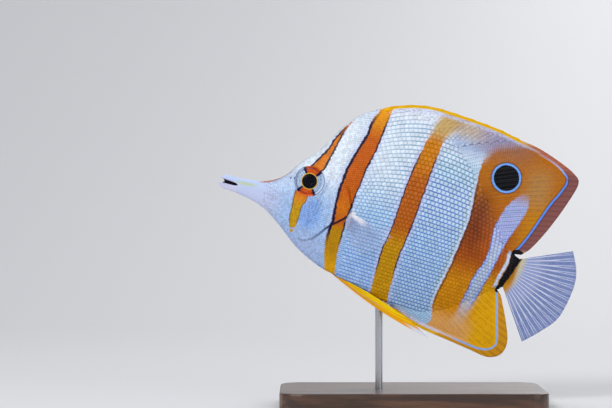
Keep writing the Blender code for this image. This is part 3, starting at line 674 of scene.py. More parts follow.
class Fin:
    """A thin fin between a line of roots and a line of tips.

    Rays stand on its membrane, and a fleshy sheath thickens it near the root. root gives
    the places of the roots at shares s, sunk into the body, and the way out of it.
    """

    sheath, sheath_end, ray, membrane = 1, 0.6, 0.17, 0.11
    curl, sunk, spikes, power = 0, 1, 0, 1

    def __init__(self, root, tips, rays, **settings):
        self.root, self.tips, self.rays = root, tips, rays
        vars(self).update(settings)

    def plan(self, s, t):
        """(u, v) at a share s along the fin and t from root to tip."""
        s, t = np.broadcast_arrays(np.asarray(s, float), np.asarray(t, float))
        root, way = self.root(s)
        out = np.clip(t, 0, None)[..., None]
        reach = spline(self.tips, s ** self.power) - root
        length = np.linalg.norm(reach, axis=-1, keepdims=True)
        reach = reach * (1 + self.spikes * ridge(s, 0 * s, self.rays)[..., None] / length)
        side = np.stack((reach[..., 1], -reach[..., 0]), -1)
        return (root + reach * out + side * self.curl * out * (1 - out)
                + way * np.minimum(t, 0)[..., None] * self.sunk)

    def half(self, t):
        """Half of the thickness without the rays."""
        return self.membrane + self.sheath * (1 - smooth(-0.05, self.sheath_end, np.clip(t, 0, 1)))

    def at(self, s, t):
        """Places (u, y, v) on the right face, without its rays."""
        spot = self.plan(s, t)
        return np.stack((spot[..., 0], self.half(t), spot[..., 1]), -1)

    def mesh(self, name, columns, rows, waves=0):
        s = np.linspace(0, 1, columns)[:, None]
        t = np.concatenate(([-1], np.linspace(0, 1, rows)))[None, :]
        u, v = np.moveaxis(self.plan(s, t), -1, 0)
        out = np.clip(t, 0, 1)
        rays = ridge(s, out, self.rays)
        edge = np.minimum(np.minimum(s, 1 - s) * columns / 3, 1)
        y = (self.half(t) + self.ray * (1 - 0.55 * out) * rays) * (0.35 + 0.65 * edge)
        wave = waves * np.sin(s * 9 + t * 2) * smooth(0.1, 1, t)
        return sheet_mesh(name, np.stack((u, wave + 0 * u, v), -1),
                          np.stack((0 * y, y, 0 * y), -1), (t, rays, s))

    def cover(self, name, columns, spacing, bare, mat, slot):
        """Small scales over the fin's sheath, down both sides, leaving its edge bare."""
        grid, gap, rows = np.linspace(0, 1, 60), 0.5 / columns, []
        for k in range(columns):
            s = (k + 0.5) / columns
            run = running(np.linalg.norm(np.diff(self.plan(s, grid), axis=0), axis=1))
            if run[-1] - bare < 0.6:
                continue
            stops = np.arange(0.3 + spacing * 0.5 * (k % 2), run[-1] - bare, spacing)
            t = np.interp(stops, run, grid)
            across = self.at(s + gap, t) - self.at(s - gap, t)
            rows.append((self.at(s, t), self.at(s, t + 0.01) - self.at(s, t - 0.01), across,
                         np.linalg.norm(across, axis=1),
                         np.stack((np.full(t.shape, s), stops / 60), -1)))
        roots, tangent, across, width, flat = map(np.concatenate, zip(*rows))
        across = np.where(np.cross(across, tangent)[:, 1:2] < 0, -across, across)
        far = depth_in(roots[:, 0], roots[:, 2], "dorsal", "anal") < -2.2
        scales(name, roots[far], tangent[far], across[far], 1.7 * spacing, 0.62 * width[far],
               0.02 + 0.96 * flat[far], mat, slot, False)

    def cover_rows(self, name, spacing, bare, mat, slot):
        """Scales in rows along the fin, as the body's go on."""
        grid, rows = np.linspace(0, 1, 500), []
        height = np.linalg.norm(self.plan(grid, 1) - self.plan(grid, 0), axis=-1)
        for k, off in enumerate(np.arange(0.35, height.max(), spacing)):
            run = running(np.linalg.norm(np.diff(self.plan(grid, off / height), axis=0), axis=1))
            stops = np.arange(0.5 + spacing * 0.5 * (k % 2), run[-1] - 0.5, spacing * ALONG_ROW)
            s = np.interp(stops, run, grid)
            s = s[off < np.interp(s, grid, height) - 0.4]
            if len(s) == 0:
                continue
            after, before = np.clip(s + 0.006, 0, 1), np.clip(s - 0.006, 0, 1)
            high, high_after, high_before = (off / np.interp(x, grid, height)
                                             for x in (s, after, before))
            rows.append((self.at(s, high),
                         self.at(after, high_after) - self.at(before, high_before),
                         self.at(s, high + 0.02) - self.at(s, np.maximum(high - 0.02, 0)),
                         np.stack((s, np.full(s.shape, off / 40)), -1)))
        roots, tangent, across, flat = map(np.concatenate, zip(*rows))
        far = distance(RIMS[0], roots[:, 0], roots[:, 2]) > bare
        scales(name, roots[far], tangent[far], across[far], SCALE_LENGTH * spacing,
               SCALE_HALF * spacing, 0.02 + 0.96 * flat[far], mat, slot)


def make_fins(fin_mat, scale_mat, tail_mat):
    def body_fin(name, node, edge, span, tips, rays, columns, rows, **settings):
        outwards = 1 if edge is BACK else -1
        fin = Fin(lambda s: edge_line(edge, span, s, outwards, 0.25), tips, rays, **settings)
        piece(name, fin.mesh(name, columns, rows), fin_mat, "orange_skin", node)
        return fin

    spiny = body_fin("dorsal_spines", "dorsal_fin_spiny", BACK, SPINY_ROOT, SPINY_TIPS,
                     SPINY_RAYS, 24 * SPINY_RAYS + 1, 30, curl=-0.1, ray=0.3, spikes=0.4)
    spiny.cover_rows("spiny_fin_scales", 1.55, 2.2, scale_mat, "pearl_skin")
    soft = body_fin("dorsal_rays", "dorsal_fin_soft", BACK, SOFT_ROOT, SOFT_TIPS, SOFT_RAYS,
                    13 * SOFT_RAYS + 1, 50, curl=-0.1)
    soft.cover("soft_fin_scales", 66, 0.95, 4.6, scale_mat, "orange_skin")
    anal = body_fin("anal_rays", "anal_fin", BELLY, ANAL_ROOT, ANAL_TIPS,
                    ANAL_SPINES + ANAL_RAYS, 14 * (ANAL_SPINES + ANAL_RAYS) + 1, 40,
                    curl=0.12, power=0.9)
    anal.cover("anal_fin_scales", 56, 0.95, 3.4, scale_mat, "orange_skin")

    shift = lean(BODY_END)
    top = np.array([BODY_END + shift, along(BACK, BODY_END + shift)])
    low = np.array([BODY_END - shift, along(BELLY, BODY_END - shift)])
    along_end = unit(top - low)
    outwards = np.array([along_end[1], -along_end[0]])
    tail = Fin(lambda s: (top + (low - top) * (0.01 + 0.98 * s[..., None]), outwards),
               CAUDAL_TIPS, CAUDAL_RAYS, sheath=1.5, ray=0.24, membrane=0.09, sheath_end=0.22,
               sunk=1.2)
    piece("tail_fin", tail.mesh("tail_fin", 20 * CAUDAL_RAYS + 1, 60, waves=0.35), tail_mat,
          "clear_fin", "caudal_fin")


def rim_of(index):
    """The numbers round the edge of a grid of them."""
    return np.concatenate((index[0, :], index[1:, -1], index[-1, -2::-1], index[-2:0:-1, 0]))


def sheet_mesh(name, middle, offset, extra):
    """A closed sheet with a face on either side of a grid of (u, y, v) points."""
    index = np.arange(middle[..., 0].size).reshape(middle.shape[:2])
    rim = np.stack((rim_of(index), rim_of(index) + index.size), -1)
    triangles = np.concatenate((strips(index), strips(index + index.size)[:, ::-1],
                                strips(np.vstack((rim, rim[:1])))))
    points = np.concatenate([(middle + offset * side).reshape(-1, 3) for side in (1, -1)])
    mesh = new_mesh(name, points, triangles)
    mark(mesh, np.tile(middle[..., 0].ravel(), 2), np.tile(middle[..., 2].ravel(), 2),
         [np.tile(np.broadcast_to(a, index.shape).ravel(), 2) for a in extra])
    return mesh


def make_blades(name, node, mat, slot, middle, half, extra):
    """Both of a pair of fins from the right one's grid of (u, y, v) points.

    half is its half thickness across its own face.
    """
    for side, word in SIDES:
        points = middle * (1, side, 1)
        normal = np.cross(np.gradient(points, axis=0), np.gradient(points, axis=1))
        normal /= np.linalg.norm(normal, axis=2, keepdims=True) + 1e-9
        mesh = sheet_mesh(name + word, points, normal * half[..., None], extra)
        piece(name + word, mesh, mat, slot, node + word)


def make_pectorals(mat):
    """Clear fans that leave the flank squarely and turn back along the body."""
    s = np.linspace(0, 1, 12 * PECTORAL_RAYS + 1)[:, None]
    t = np.linspace(-0.12, 1, 44)[None, :]
    root_u = between(PECTORAL_TOP[0], PECTORAL_BOTTOM[0], s)
    root_v = between(PECTORAL_TOP[1], PECTORAL_BOTTOM[1], s)
    station, share, _ = GIRTH.find(root_u, root_v)
    for _ in range(3):
        station = root_u - lean(station) * (1 - 2 * share)
        top = along(BACK, station + lean(station))
        share = (top - root_v) / (top - along(BELLY, station - lean(station)))
    angle = between(*PECTORAL_ANGLES, s)
    reach = between(*PECTORAL_LENGTH, s ** 1.3)
    reach = reach * (1 - 0.06 * (1 - ridge(s, 1 + 0 * s, PECTORAL_RAYS)))
    out = np.clip(t, 0, 1)
    run = 0.3 + (reach * cos(PECTORAL_FLARE) - 0.3) * out
    stand = (np.where(t < 0, t * 14, PECTORAL_STUB * smooth(0, 0.07, t))
             + reach * sin(PECTORAL_FLARE) * out)
    stand = stand + 0.5 * np.sin(s * 7) * smooth(0.2, 1, out)
    rays = ridge(s, out + 0 * s, PECTORAL_RAYS, split=0.5)
    half = 0.07 + 0.13 * (1 - 0.6 * out) * rays + 0.35 * (1 - smooth(-0.05, 0.16, t))
    points = np.stack((root_u + run * np.cos(angle), surface(station, share)[1] + stand,
                       root_v - run * np.sin(angle)), -1)
    make_blades("pectoral_rays_", "pectoral_fin_", mat, "clear_fin", points, half, (t, rays, s))


def make_pelvics(mat):
    """Narrow yellow blades folded back under the belly."""
    s = np.linspace(0, 1, 14 * PELVIC_RAYS + 1)[:, None]
    t = np.linspace(-0.06, 1, 60)[None, :]
    roots, _ = edge_line(BELLY, PELVIC_ROOT, s[:, 0], -1, 0.1)
    tips = spline(PELVIC_TIPS, s[:, 0])
    out = np.clip(t, 0, 1)
    u = between(roots[:, :1], tips[:, :1], t)
    v = (between(roots[:, 1:], tips[:, 1:], out) - PELVIC_SAG * out * (1 - out) * (1 - s)
         - 0.15 - 14 * np.minimum(t, 0))
    y = PELVIC_Y + PELVIC_SPREAD * smooth(0, 0.6, out) + 0 * s
    rays = ridge(s, out + 0 * s, PELVIC_RAYS, split=0.6)
    half = 0.09 + 0.22 * (1 - 0.75 * out) * rays + 0.3 * (1 - smooth(-0.05, 0.2, t))
    half = half * (1 - 0.7 * smooth(0.8, 1, out))
    make_blades("pelvic_rays_", "pelvic_fin_", mat, "orange_skin", np.stack((u, y, v), -1), half,
                (t, rays, s))


# Eyes

def lathe(name, profile, side, steps=72):
    """A turned piece round the eye's axis; profile holds (radius, outward) in millimetres."""
    angle = np.linspace(0, 2 * pi, steps, endpoint=False)
    radius, out = np.array(profile, float).T[..., None]
    points = np.stack((EYE_U + radius * np.cos(angle), side * (out + 0 * angle),
                       EYE_V + radius * np.sin(angle)), -1)
    index = np.arange(radius.size * steps).reshape(-1, steps)
    triangles = np.concatenate((strips(index, closed=True), fan(index[0], index.size),
                                fan(index[-1], index.size + 1, flip=True)))
    points = np.vstack((points.reshape(-1, 3),
                        [(EYE_U, side * profile[end][1], EYE_V) for end in (0, -1)]))
    mesh = new_mesh(name, points, triangles)
    u, _, v = points.T
    mark(mesh, u, v, (u - EYE_U, v - EYE_V, away(u, v, EYE)))
    return mesh


def make_eyes(ball_mat, cornea_mat):
    ball = [(0.02, 2.3)] + [(EYE_RADIUS * sin(a), EYE_Y - 2.2 * cos(a))
                            for a in np.linspace(0.3, pi / 2, 8)]
    ball += [(5.45, 5.3), (5.4, 5.68), (5.1, 5.86), (4.6, 6), (3.95, 6.13), (3.4, 6.24),
             (3.16, 6.2), (3.04, 6.34), (2.6, 6.6), (1.9, 6.8), (1, 6.93), (0.04, 6.98)]
    dome = [(r, 5.72 + 1.53 * (1 - (r / 5.4) ** 2) ** 0.62)
            for r in (5.34, 5.1, 4.6, 4, 3.3, 2.5, 1.6, 0.8, 0.03)]
    shell = [(r * 0.99, out - 0.1) for r, out in dome[::-1]] + dome
    for side, word in SIDES:
        piece("eyeball_" + word, lathe("eyeball_" + word, ball, side), ball_mat, "eye",
              "eye_" + word)
        piece("cornea_" + word, lathe("cornea_" + word, shell, side), cornea_mat, "eye")


# Materials

def colour(*srgb):
    """A colour given in 0 to 255 as the renderer's own linear one."""
    return [(c / 255 / 12.92 if c <= 10 else ((c / 255 + 0.055) / 1.055) ** 2.4)
            for c in srgb] + [1]


class Value:
    """A number, colour or vector worked out by the shader: arithmetic on it puts down nodes."""

    def __init__(self, socket):
        self.socket, self.tree = socket, socket.id_data

    # a | b is the larger one of both
    __add__, __sub__, __mul__, __truediv__, __pow__, __or__ = (
        lambda self, other, kind=kind: math(kind, self, other)
        for kind in ("ADD", "SUBTRACT", "MULTIPLY", "DIVIDE", "POWER", "MAXIMUM"))

    def __abs__(self):
        return math("ABSOLUTE", self)

    def line(self, slope, start):
        return math("MULTIPLY_ADD", self, slope, start)


def node(tree, kind, inputs, output=0, **settings):
    """What a new node gives for its inputs: values, numbers or colours in 0 to 255."""
    made = tree.nodes.new("ShaderNode" + kind)
    for key, value in settings.items():
        setattr(made, key, value)
    for key, value in inputs.items():
        put(made.inputs[key], value)
    return Value(made.outputs[output])


def put(socket, value):
    if isinstance(value, Value):
        socket.id_data.links.new(value.socket, socket)
    else:
        socket.default_value = colour(*value) if isinstance(value, tuple) else value


def tree_of(*values):
    return next(value.tree for value in values if isinstance(value, Value))


def math(kind, *values):
    return node(tree_of(*values), "Math", dict(enumerate(values)), operation=kind)


def ramp(x, start, end):
    """0 where x is at start, 1 where it is at end, smoothly between."""
    rising = float(start < end)
    return node(x.tree, "MapRange",
                {"Value": x, "From Min": min(start, end), "From Max": max(start, end),
                 "To Min": 1 - rising, "To Max": rising},
                "Result", interpolation_type="SMOOTHSTEP")


def window(x, a, b, soft):
    """1 between a and b, 0 outside them."""
    return ramp(x, a - soft, a + soft) * ramp(x, b + soft, b - soft)


def mix(share, a, b, kind="MIX"):
    return node(tree_of(share, a, b), "Mix", {0: share, 6: a, 7: b}, 2, data_type="RGBA",
                blend_type=kind)


def vector(x, y, z):
    return node(tree_of(x, y, z), "CombineXYZ", {0: x, 1: y, 2: z})


def noise(places, scale, detail):
    return node(places.tree, "TexNoise", {"Vector": places, "Scale": scale, "Detail": detail},
                "Fac")


class Paint:
    """A material being built."""

    def __init__(self, name, **settings):
        self.mat = bpy.data.materials.new(name)
        self.mat.use_nodes = True
        self.tree = self.mat.node_tree
        for key, value in settings.items():
            self.set(key.replace("_", " "), value)

    def set(self, name, value):
        put(self.tree.nodes["Principled BSDF"].inputs[name], value)

    def attribute(self, name):
        """The three numbers that the mesh holds under a name."""
        found = node(self.tree, "Attribute", {}, "Vector", attribute_name=name)
        parts = node(self.tree, "SeparateXYZ", {0: found}).socket.node
        return [Value(part) for part in parts.outputs]

    def stretched(self, *scale):
        """Places on the object, stretched along its axes."""
        places = node(self.tree, "TexCoord", {}, "Object")
        return node(self.tree, "Mapping", {"Vector": places, "Scale": Vector(scale)})

    def bump(self, height, strength, depth):
        self.set("Normal", node(self.tree, "Bump", {"Strength": strength, "Distance": depth,
                                                    "Height": height}, "Normal"))


NAVY, WHITE = (24, 18, 60), (242, 246, 255)


def markings(p):
    """The fish's colours over its own frame, with a painted highlight at the pectoral root, from
    the places and distances on the mesh.
    """
    u, v, gill = p.attribute("fish")
    eye_bar, bar_2, bar_3 = p.attribute("bars")
    orange, pale, tail = p.attribute("rear")
    line, margin, rim = p.attribute("edge")
    place_uv = vector(u, v, 0)
    wobble = noise(place_uv, 0.55, 3).line(1.3, -0.65)
    cloud = noise(place_uv, 0.12, 2)

    def edged(depth):
        return depth + wobble

    # Ground: bright blue-white above, violet-blue below, and the head's own blues
    ground = mix(ramp(v, -20, 4), (158, 198, 242), (158, 204, 236))
    ground = mix(ramp(v, 4, 28), ground, (226, 238, 252))
    ground = mix(ramp(cloud, 0.45, 0.75) * 0.4, ground, (190, 212, 244))
    rear = window(u, 80, 104, 5)
    ground = mix(rear * ramp(v, 44, 30) * 0.9, ground, (162, 204, 232))
    head = mix(ramp(v, 2, 20), (158, 196, 244), (228, 240, 252))
    head = mix(ramp(v, -4, -14), head, (166, 190, 236))
    cheek = ((u - 39) * 0.16) ** 2 + ((v + 1) * 0.12) ** 2
    head = mix(ramp(cheek, 1, 0.1) * 0.8, head, (108, 156, 232))
    ground = mix(ramp(u, 52, 44), ground, head)
    snout = mix(ramp(v, 0, 7), (196, 206, 240), (188, 210, 246))
    ground = mix(ramp(u, 32, 20), ground, snout)
    streak = window(u.line(-0.1, v), 1.3, 2.4, 0.6) * window(u, 7.5, 14.5, 2.5)
    ground = mix(streak * 0.75, ground, (190, 204, 112))
    slope = ((u - 14) ** 2).line(0.046, 4.6)
    brow = ramp(v - slope, 0, 0.5) * window(u, 16.5, 26.5, 2)
    ground = mix(brow * 0.85, ground, (180, 96, 44))

    # Head: the bar that runs through the eye
    shade = mix(ramp(v, 6, -1), (226, 128, 26), (206, 158, 16))
    edge = ramp(edged(eye_bar), 0.95, 0.45)
    shade = mix(edge * ramp(v, 2, 14) * ramp(v, 41, 32), shade, NAVY)
    edge = ramp(edged(eye_bar), 0.55, 0.15) * window(v, -7, 8, 2)
    shade = mix(edge * 0.7, shade, (60, 40, 60))
    painted = ramp(edged(eye_bar), -0.3, 0.2)
    painted -= painted * window(v, -9.3, -8.7, 0.5)
    result = mix(painted, ground, shade)

    # The iris runs on over the bare skin round the eye
    du, dv = u - EYE_U, v - EYE_V
    ring = math("SQRT", du * du + dv * dv)
    steep = abs(dv) / (ring | 0.1)
    near = ramp(ring, 6.75, 6.3)
    silver = mix(window(ring, 5.9, 6.2, 0.12), (204, 224, 250), (112, 132, 190))
    result = mix(near * ramp(steep, 0.86, 0.7), result, silver)
    red = mix(window(steep, 0.74, 0.87, 0.03), (222, 96, 34), NAVY)
    result = mix(ramp(ring, 6.5, 6) * ramp(steep, 0.72, 0.76), result, red)

    # Second and third bars
    middle = (v * v).line(0.0022, 51.6)
    front = math("LESS_THAN", u, middle)
    band = mix(ramp(v, 34, 47), (206, 98, 8), (240, 160, 4))
    band = mix(window(v, 1, 9, 4) * 0.6, band, (224, 128, 6))
    band = mix(ramp(v, 0, -5), band, (196, 142, 0))
    band = mix(ramp(v, -12, -20), band, (240, 176, 0))
    depth = front.line(0.5, 0.55)
    rimmed = ramp(edged(bar_2) - depth, 0.3, -0.15)
    rimmed *= ramp(v, 50, 40) * ramp(v, -13, -5)
    band = mix(rimmed, band, (36, 18, 52))
    halo = window(edged(bar_2), -1.1, -0.1, 0.3) * ramp(v, -14, -4)
    result = mix(halo * 0.6, result, (206, 214, 252))
    painted |= halo * 0.6
    share = ramp(edged(bar_2), -0.25, 0.2)
    painted, result = painted | share, mix(share, result, band)

    band = mix(ramp(v, 6, -6), (188, 96, 8), (208, 152, 0))
    band = mix(ramp(v, 22, 36), band, (214, 132, 8))
    rimmed = ramp(edged(bar_3), 0.75, 0.3)
    rimmed *= ramp(v, 40, 32) * ramp(v, -18, -12)
    band = mix(rimmed, band, (56, 30, 66))
    band = mix(ramp(v, 41, 47.5), band, (206, 172, 108))
    halo = window(edged(bar_3), -1.2, -0.1, 0.3) * ramp(v, 46, 38)
    result = mix(halo * 0.7, result, (196, 204, 250))
    painted |= halo * 0.6
    share = mix(ramp(v, 40, 46), ramp(edged(bar_3), -0.25, 0.2), ramp(edged(bar_3), -1.6, 1.8))
    painted, result = painted | share, mix(share, result, band)

    # Upper field behind the third bar
    top = mix(ramp(v, 43, 51), (160, 184, 226), (194, 168, 136))
    top = mix(ramp(u, 92, 104) * ramp(v, 41, 46), top, (142, 128, 168))
    field = ramp(v, 38, 45) * ramp(u, 83, 89)
    result = mix(field * 0.85, result, top)
    painted |= field * 0.75

    # Rear: orange-brown field with its pale band
    brown = mix(ramp(v, 30, 12), (190, 112, 16), (176, 84, 8))
    dark = window(u, 101.5, 109.5, 4.5) * window(v, 4, 28, 8)
    brown = mix(dark * 0.8, brown, (112, 44, 8))
    faint = window(u, 121, 131, 4) * window(v, 27, 43, 5)
    brown = mix(faint * 0.45, brown, (184, 156, 100))
    golden = ramp(u, 118, 128) * ramp(v, 34, 22)
    brown = mix(golden * 0.8, brown, (208, 140, 10))
    dusky = ramp(v, 38, 50) * ramp(u, 126, 112)
    brown = mix(dusky * 0.7, brown, (146, 104, 92))
    gold = mix(ramp(u, 110, 118), (216, 142, 0), (236, 174, 0))
    brown = mix(ramp(v, 2, -12), brown, gold)
    peach = window(u, 94, 116, 3) * ramp(v, -21, -28)
    brown = mix(peach * 0.6, brown, (236, 180, 116))
    share = mix(ramp(v, 38, 43), ramp(edged(orange), -0.3, 0.25), ramp(edged(orange), -2.2, 2.4))
    painted, result = painted | share, mix(share, result, brown)
    lead = window(edged(orange), -2.4, -1, 0.6) * window(v, -16, 30, 6)
    result = mix(lead * 0.5, result, (180, 206, 178))
    lead = window(edged(orange), -0.95, 0, 0.2) * window(v, -24, 34, 4)
    result = mix(lead * 0.95, result, (206, 226, 255))
    painted |= lead
    edge = window(edged(orange), 0.2, 0.9, 0.3) * window(v, -22, 32, 5)
    result = mix(edge * 0.7, result, (70, 34, 34))
    glow = window(v.line(-0.25, u), 114, 119, 1.5) * window(v, -26, -13, 4)
    result = mix(glow * 0.55, result, (214, 196, 172))
    stripe = mix(ramp(v, 4, 14), (184, 202, 220), (166, 176, 232))
    stripe = mix(ramp(edged(pale), 1.3, 0.9) * ramp(v, 22, 12), stripe, (158, 184, 250))
    stripe = mix(ramp(edged(pale), 0.35, 0.1) * ramp(v, 26, 12), stripe, (112, 84, 120))
    share = ramp(edged(pale), -0.5, 0.3) * ramp(v, -25, -13) * ramp(v, 34, 26)
    result = mix(share, result, stripe)
    painted -= share * 0.8

    # Along the dorsal fin's edge: yellow rim and a pale line under it
    line_in = window(u.line(0.022, rim), 3.1, 4.5, 0.5)
    line_in *= window(u, 62, 122, 6)
    result = mix(line_in * 0.7, result, (206, 212, 246))
    rim_red = ramp(rim, 1.5, 0.9) * ramp(u, 112, 119) * ramp(v, 40, 47)
    result = mix(rim_red, result, (184, 112, 76))
    rim_on = ramp(rim, 1.5, 0.9) * ramp(u, 120, 112)
    rim_on *= ramp(v, 0, 10)
    low_line = window(rim, 1.4, 2.4, 0.4) * window(u, 86, 104, 3) * ramp(v, -10, -20)
    result = mix(low_line * 0.8, result, (228, 226, 246))
    rim_low = ramp(rim, 1.5, 0.9) * ramp(u, 116, 104) * ramp(v, 0, -10)
    rim_on |= rim_low
    painted |= rim_on
    result = mix(rim_on, result, (238, 184, 0))

    # Eye spot
    spot = math("SQRT", (u - OCELLUS_U) ** 2 + (v - OCELLUS_V) ** 2)
    spot = wobble.line(0.3, spot)
    result = mix(ramp(spot, OCELLUS + 0.9, OCELLUS + 0.2) * 0.7, result, (56, 40, 62))
    result = mix(ramp(spot, OCELLUS + 0.2, OCELLUS - 0.05), result, (120, 176, 255))
    result = mix(ramp(spot, OCELLUS - 0.65, OCELLUS - 0.9), result, (3, 3, 8))

    # Margins of the soft fins and the blue lines inside them
    outer = mix(ramp(v, 0, 8), (220, 154, 20), (142, 88, 84))
    outer = mix(ramp(v, 44, 49) * 0.7, outer, (206, 116, 84))
    result = mix(ramp(margin, -0.2, 0.3), result, outer)
    dark_line = ramp(line, 1.1, 0.65) * ramp(v, -4, 6) * ramp(v, 48, 42)
    dark_line *= 0.6
    result = mix(dark_line, result, (70, 44, 60))
    blue = mix(ramp(v, 0, 10), (146, 186, 250), (86, 150, 255))
    blue = mix(ramp(v, 43, 48), blue, (190, 200, 236))
    fade = ramp(v, 50.5, 45).line(0.75, 0.25)
    fade *= ramp(v, -4, 4) | ramp(u, 107, 116)
    result = mix(ramp(line, 0.52, 0.3) * fade, result, blue)

    # Root of the tail
    lead = (window(edged(tail), -1.5, -0.3, 0.3)
            * ramp(v.line(-0.22, u), 124.2, 123.4) * window(v, -7.5, 8, 0.8))
    result = mix(lead, result, (206, 226, 255))
    behind = ramp(u, 126.5, 128.5) * window(v, -12, 9.5, 0.8)
    result = mix(behind, result, (226, 216, 176))
    share = ramp(edged(tail), -0.25, 0.25)
    painted, result = painted | share, mix(share, result, (6, 5, 12))

    # The gill cover's free edge, and a painted highlight at the root of the pectoral fin
    seam = ramp(u, 46, 48.5) * ramp(v, 5, 3.4) * 0.9 + ramp(u, 36, 38.5) * ramp(v, -3, -6) * 0.4
    seam = math("MINIMUM", seam, 0.9) * ramp(gill, 0.62, 0.25)
    result = mix(seam, result, (40, 30, 66))
    # Painted highlight: a white spot at the root of the pectoral fin, whitest at its upper part
    root = math("SQRT", ((u - 56) / 1.7) ** 2 + ((v - 1) / 3.7) ** 2)
    root = ramp(root, 1.25, 0.9)
    result = mix(root, result, mix(ramp(v, 1, 3.5), (196, 212, 246), WHITE))
    painted |= root

    # Skin between the scales: tinted on the pale ground, only darker on the bars
    violet = rear * ramp(v, 34, 24)
    gap = mix(ramp(v, 6, 24), (134, 164, 236), (112, 172, 196))
    gap = mix(violet, gap, (96, 118, 226))
    plain = ramp(u, 52, 42) | ramp(v, 46, 49)
    gap = mix(painted | plain, gap, (214, 202, 204))
    gap = mix(1, result, gap, "MULTIPLY")
    return result, gap, painted, (u, v), place_uv


def make_skin_material():
    p = Paint("pearl_skin", Roughness=0.4, Coat_Weight=0.05, Coat_Roughness=0.15)
    tone, gap, painted, (u, v), place_uv = markings(p)
    across, mouth_shade, _ = p.attribute("part")
    scaled = ramp(u, 44, 56) * ramp(across, 1.6, 3)
    tone = mix(scaled * 0.85, tone, gap)
    fine = noise(place_uv, 3.2, 4)
    fleck = ramp(fine, 0.56, 0.72) * painted.line(-0.3, 0.3)
    tone = mix(fleck, tone, WHITE)
    low = ramp(v, 2.1, 1.3) * ramp(u, 10, 6)
    tone = mix(low * 0.3, tone, (232, 220, 232))
    # Painted shade: the lining of the mouth is near-black, as the shade inside it
    tone = mix(mouth_shade, tone, (34, 20, 34))
    # Painted shade in the nostril pits
    for nostril_u, nostril_v in NOSTRILS:
        hole = (u - nostril_u) ** 2 + (v - nostril_v) ** 2
        tone = mix(ramp(hole, 0.2, 0.06) * 0.8, tone, (58, 66, 112))
    p.set("Base Color", tone)
    p.set("Specular IOR Level", (painted | mouth_shade).line(-0.28, 0.34))
    p.bump(fine, 0.3, 0.0002)
    return p.mat


def make_scale_material():
    p = Paint("scale_coat", Coat_Weight=0.03, Coat_Roughness=0.15)
    tone, gap, painted, (u, v), _ = markings(p)
    length, width, chance = p.attribute("part")
    body = ramp(u, 42, 56)
    side = ramp(abs(width), 0.3, 0.9)
    tip = ramp(length, 0.25, 0.5) * ramp(u, 72, 84).line(0.5, 0.35)
    edge = side | tip
    depth = body.line(painted.line(-0.35, 0.85), 0.15)
    tone = mix(edge * depth, tone, gap)
    # Painted highlight: a white streak along the middle of each scale, away from its sides,
    # fainter on the painted marks and stronger higher up
    scale_highlight = window(length, -0.1, 0.3, 0.15) * ramp(side, 0.6, 0)
    scale_highlight *= painted.line(-0.42, 0.45)
    scale_highlight *= ramp(v, -8, 22).line(0.6, 0.4)
    tone = mix(scale_highlight, tone, WHITE)
    spread = body.line(-0.12, 0.3)
    change = chance.line(spread, spread.line(-0.6, 1))
    tone = mix(1, tone, vector(change, change, change), "MULTIPLY")
    p.set("Base Color", tone)
    p.set("Roughness", chance.line(0.14, 0.34))
    p.set("Specular IOR Level", painted.line(-0.24, 0.3))
    return p.mat


def make_fin_material():
    p = Paint("fin_skin", Roughness=0.45, Coat_Weight=0.02, Coat_Roughness=0.2)
    tone, _, painted, _, _ = markings(p)
    _, ray, _ = p.attribute("part")
    _, margin, _ = p.attribute("edge")
    webs = ramp(ray, 0.5, 0.1) * ramp(margin, 0.3, 1.2).line(0.2, 0.06)
    tone = mix(webs, tone, (72, 38, 34))
    p.set("Base Color", tone)
    p.set("Specular IOR Level", painted.line(-0.2, 0.3))
    return p.mat


def make_tail_material():
    p = Paint("clear_fin", Roughness=0.34, Specular_IOR_Level=0.2)
    tone = markings(p)[0]
    out, ray, _ = p.attribute("part")
    blue = mix(ramp(out, 0.15, 0.6), (160, 176, 226), (60, 104, 186))
    white = ramp(ray, 0.3, 0.8) * ramp(out, 1, 0.3).line(0.35, 0.6)
    blue = mix(white, blue, (234, 236, 252))
    tone = mix(ramp(out, 0.06, 0.2), tone, blue)
    p.set("Base Color", tone)
    clear = ramp(ray, 0.75, 0.15) * ramp(out, 0.12, 0.4)
    p.set("Alpha", clear.line(-0.38, 0.94))
    return p.mat


def make_pectoral_material():
    p = Paint("pectoral_clear", Roughness=0.3, Coat_Weight=0.3, Coat_Roughness=0.1)
    out, ray, share = p.attribute("part")
    tone = mix(ramp(out, 0.1, 0.5), (186, 204, 240), (196, 204, 232))
    tone = mix(ramp(ray, 0.2, 0.9), tone, (150, 160, 205))
    # Painted highlight: white along the upper rays near the root, where the fin is also less clear
    lead = ramp(share, 0.3, 0.1) * ramp(out, 0.5, 0.2)
    p.set("Base Color", mix(lead, tone, (246, 246, 252)))
    clear = ramp(ray, 0.75, 0.2) * ramp(out, 0, 0.18)
    clear -= lead
    p.set("Alpha", clear.line(-0.5, 0.62) * ramp(out, 0.95, 0.3).line(0.65, 0.35))
    return p.mat


def make_pelvic_material():
    p = Paint("pelvic_yellow", Roughness=0.45, Specular_IOR_Level=0.12)
    out, ray, share = p.attribute("part")
    tone = mix(ramp(share, 0.1, 0.45), (250, 176, 0), (255, 216, 0))
    tone = mix(ramp(ray, 0.5, 0.1) * 0.4, tone, (206, 126, 16))
    vein = window(share, 0.27, 0.33, 0.03) * window(out, 0.1, 0.6, 0.1)
    tone = mix(vein * 0.7, tone, (150, 110, 150))
    thread = ramp(share, 0.2, 0.1) * ramp(out, 0.78, 0.9)
    tone = mix(thread, tone, (226, 232, 246))
    p.set("Base Color", tone)
    return p.mat


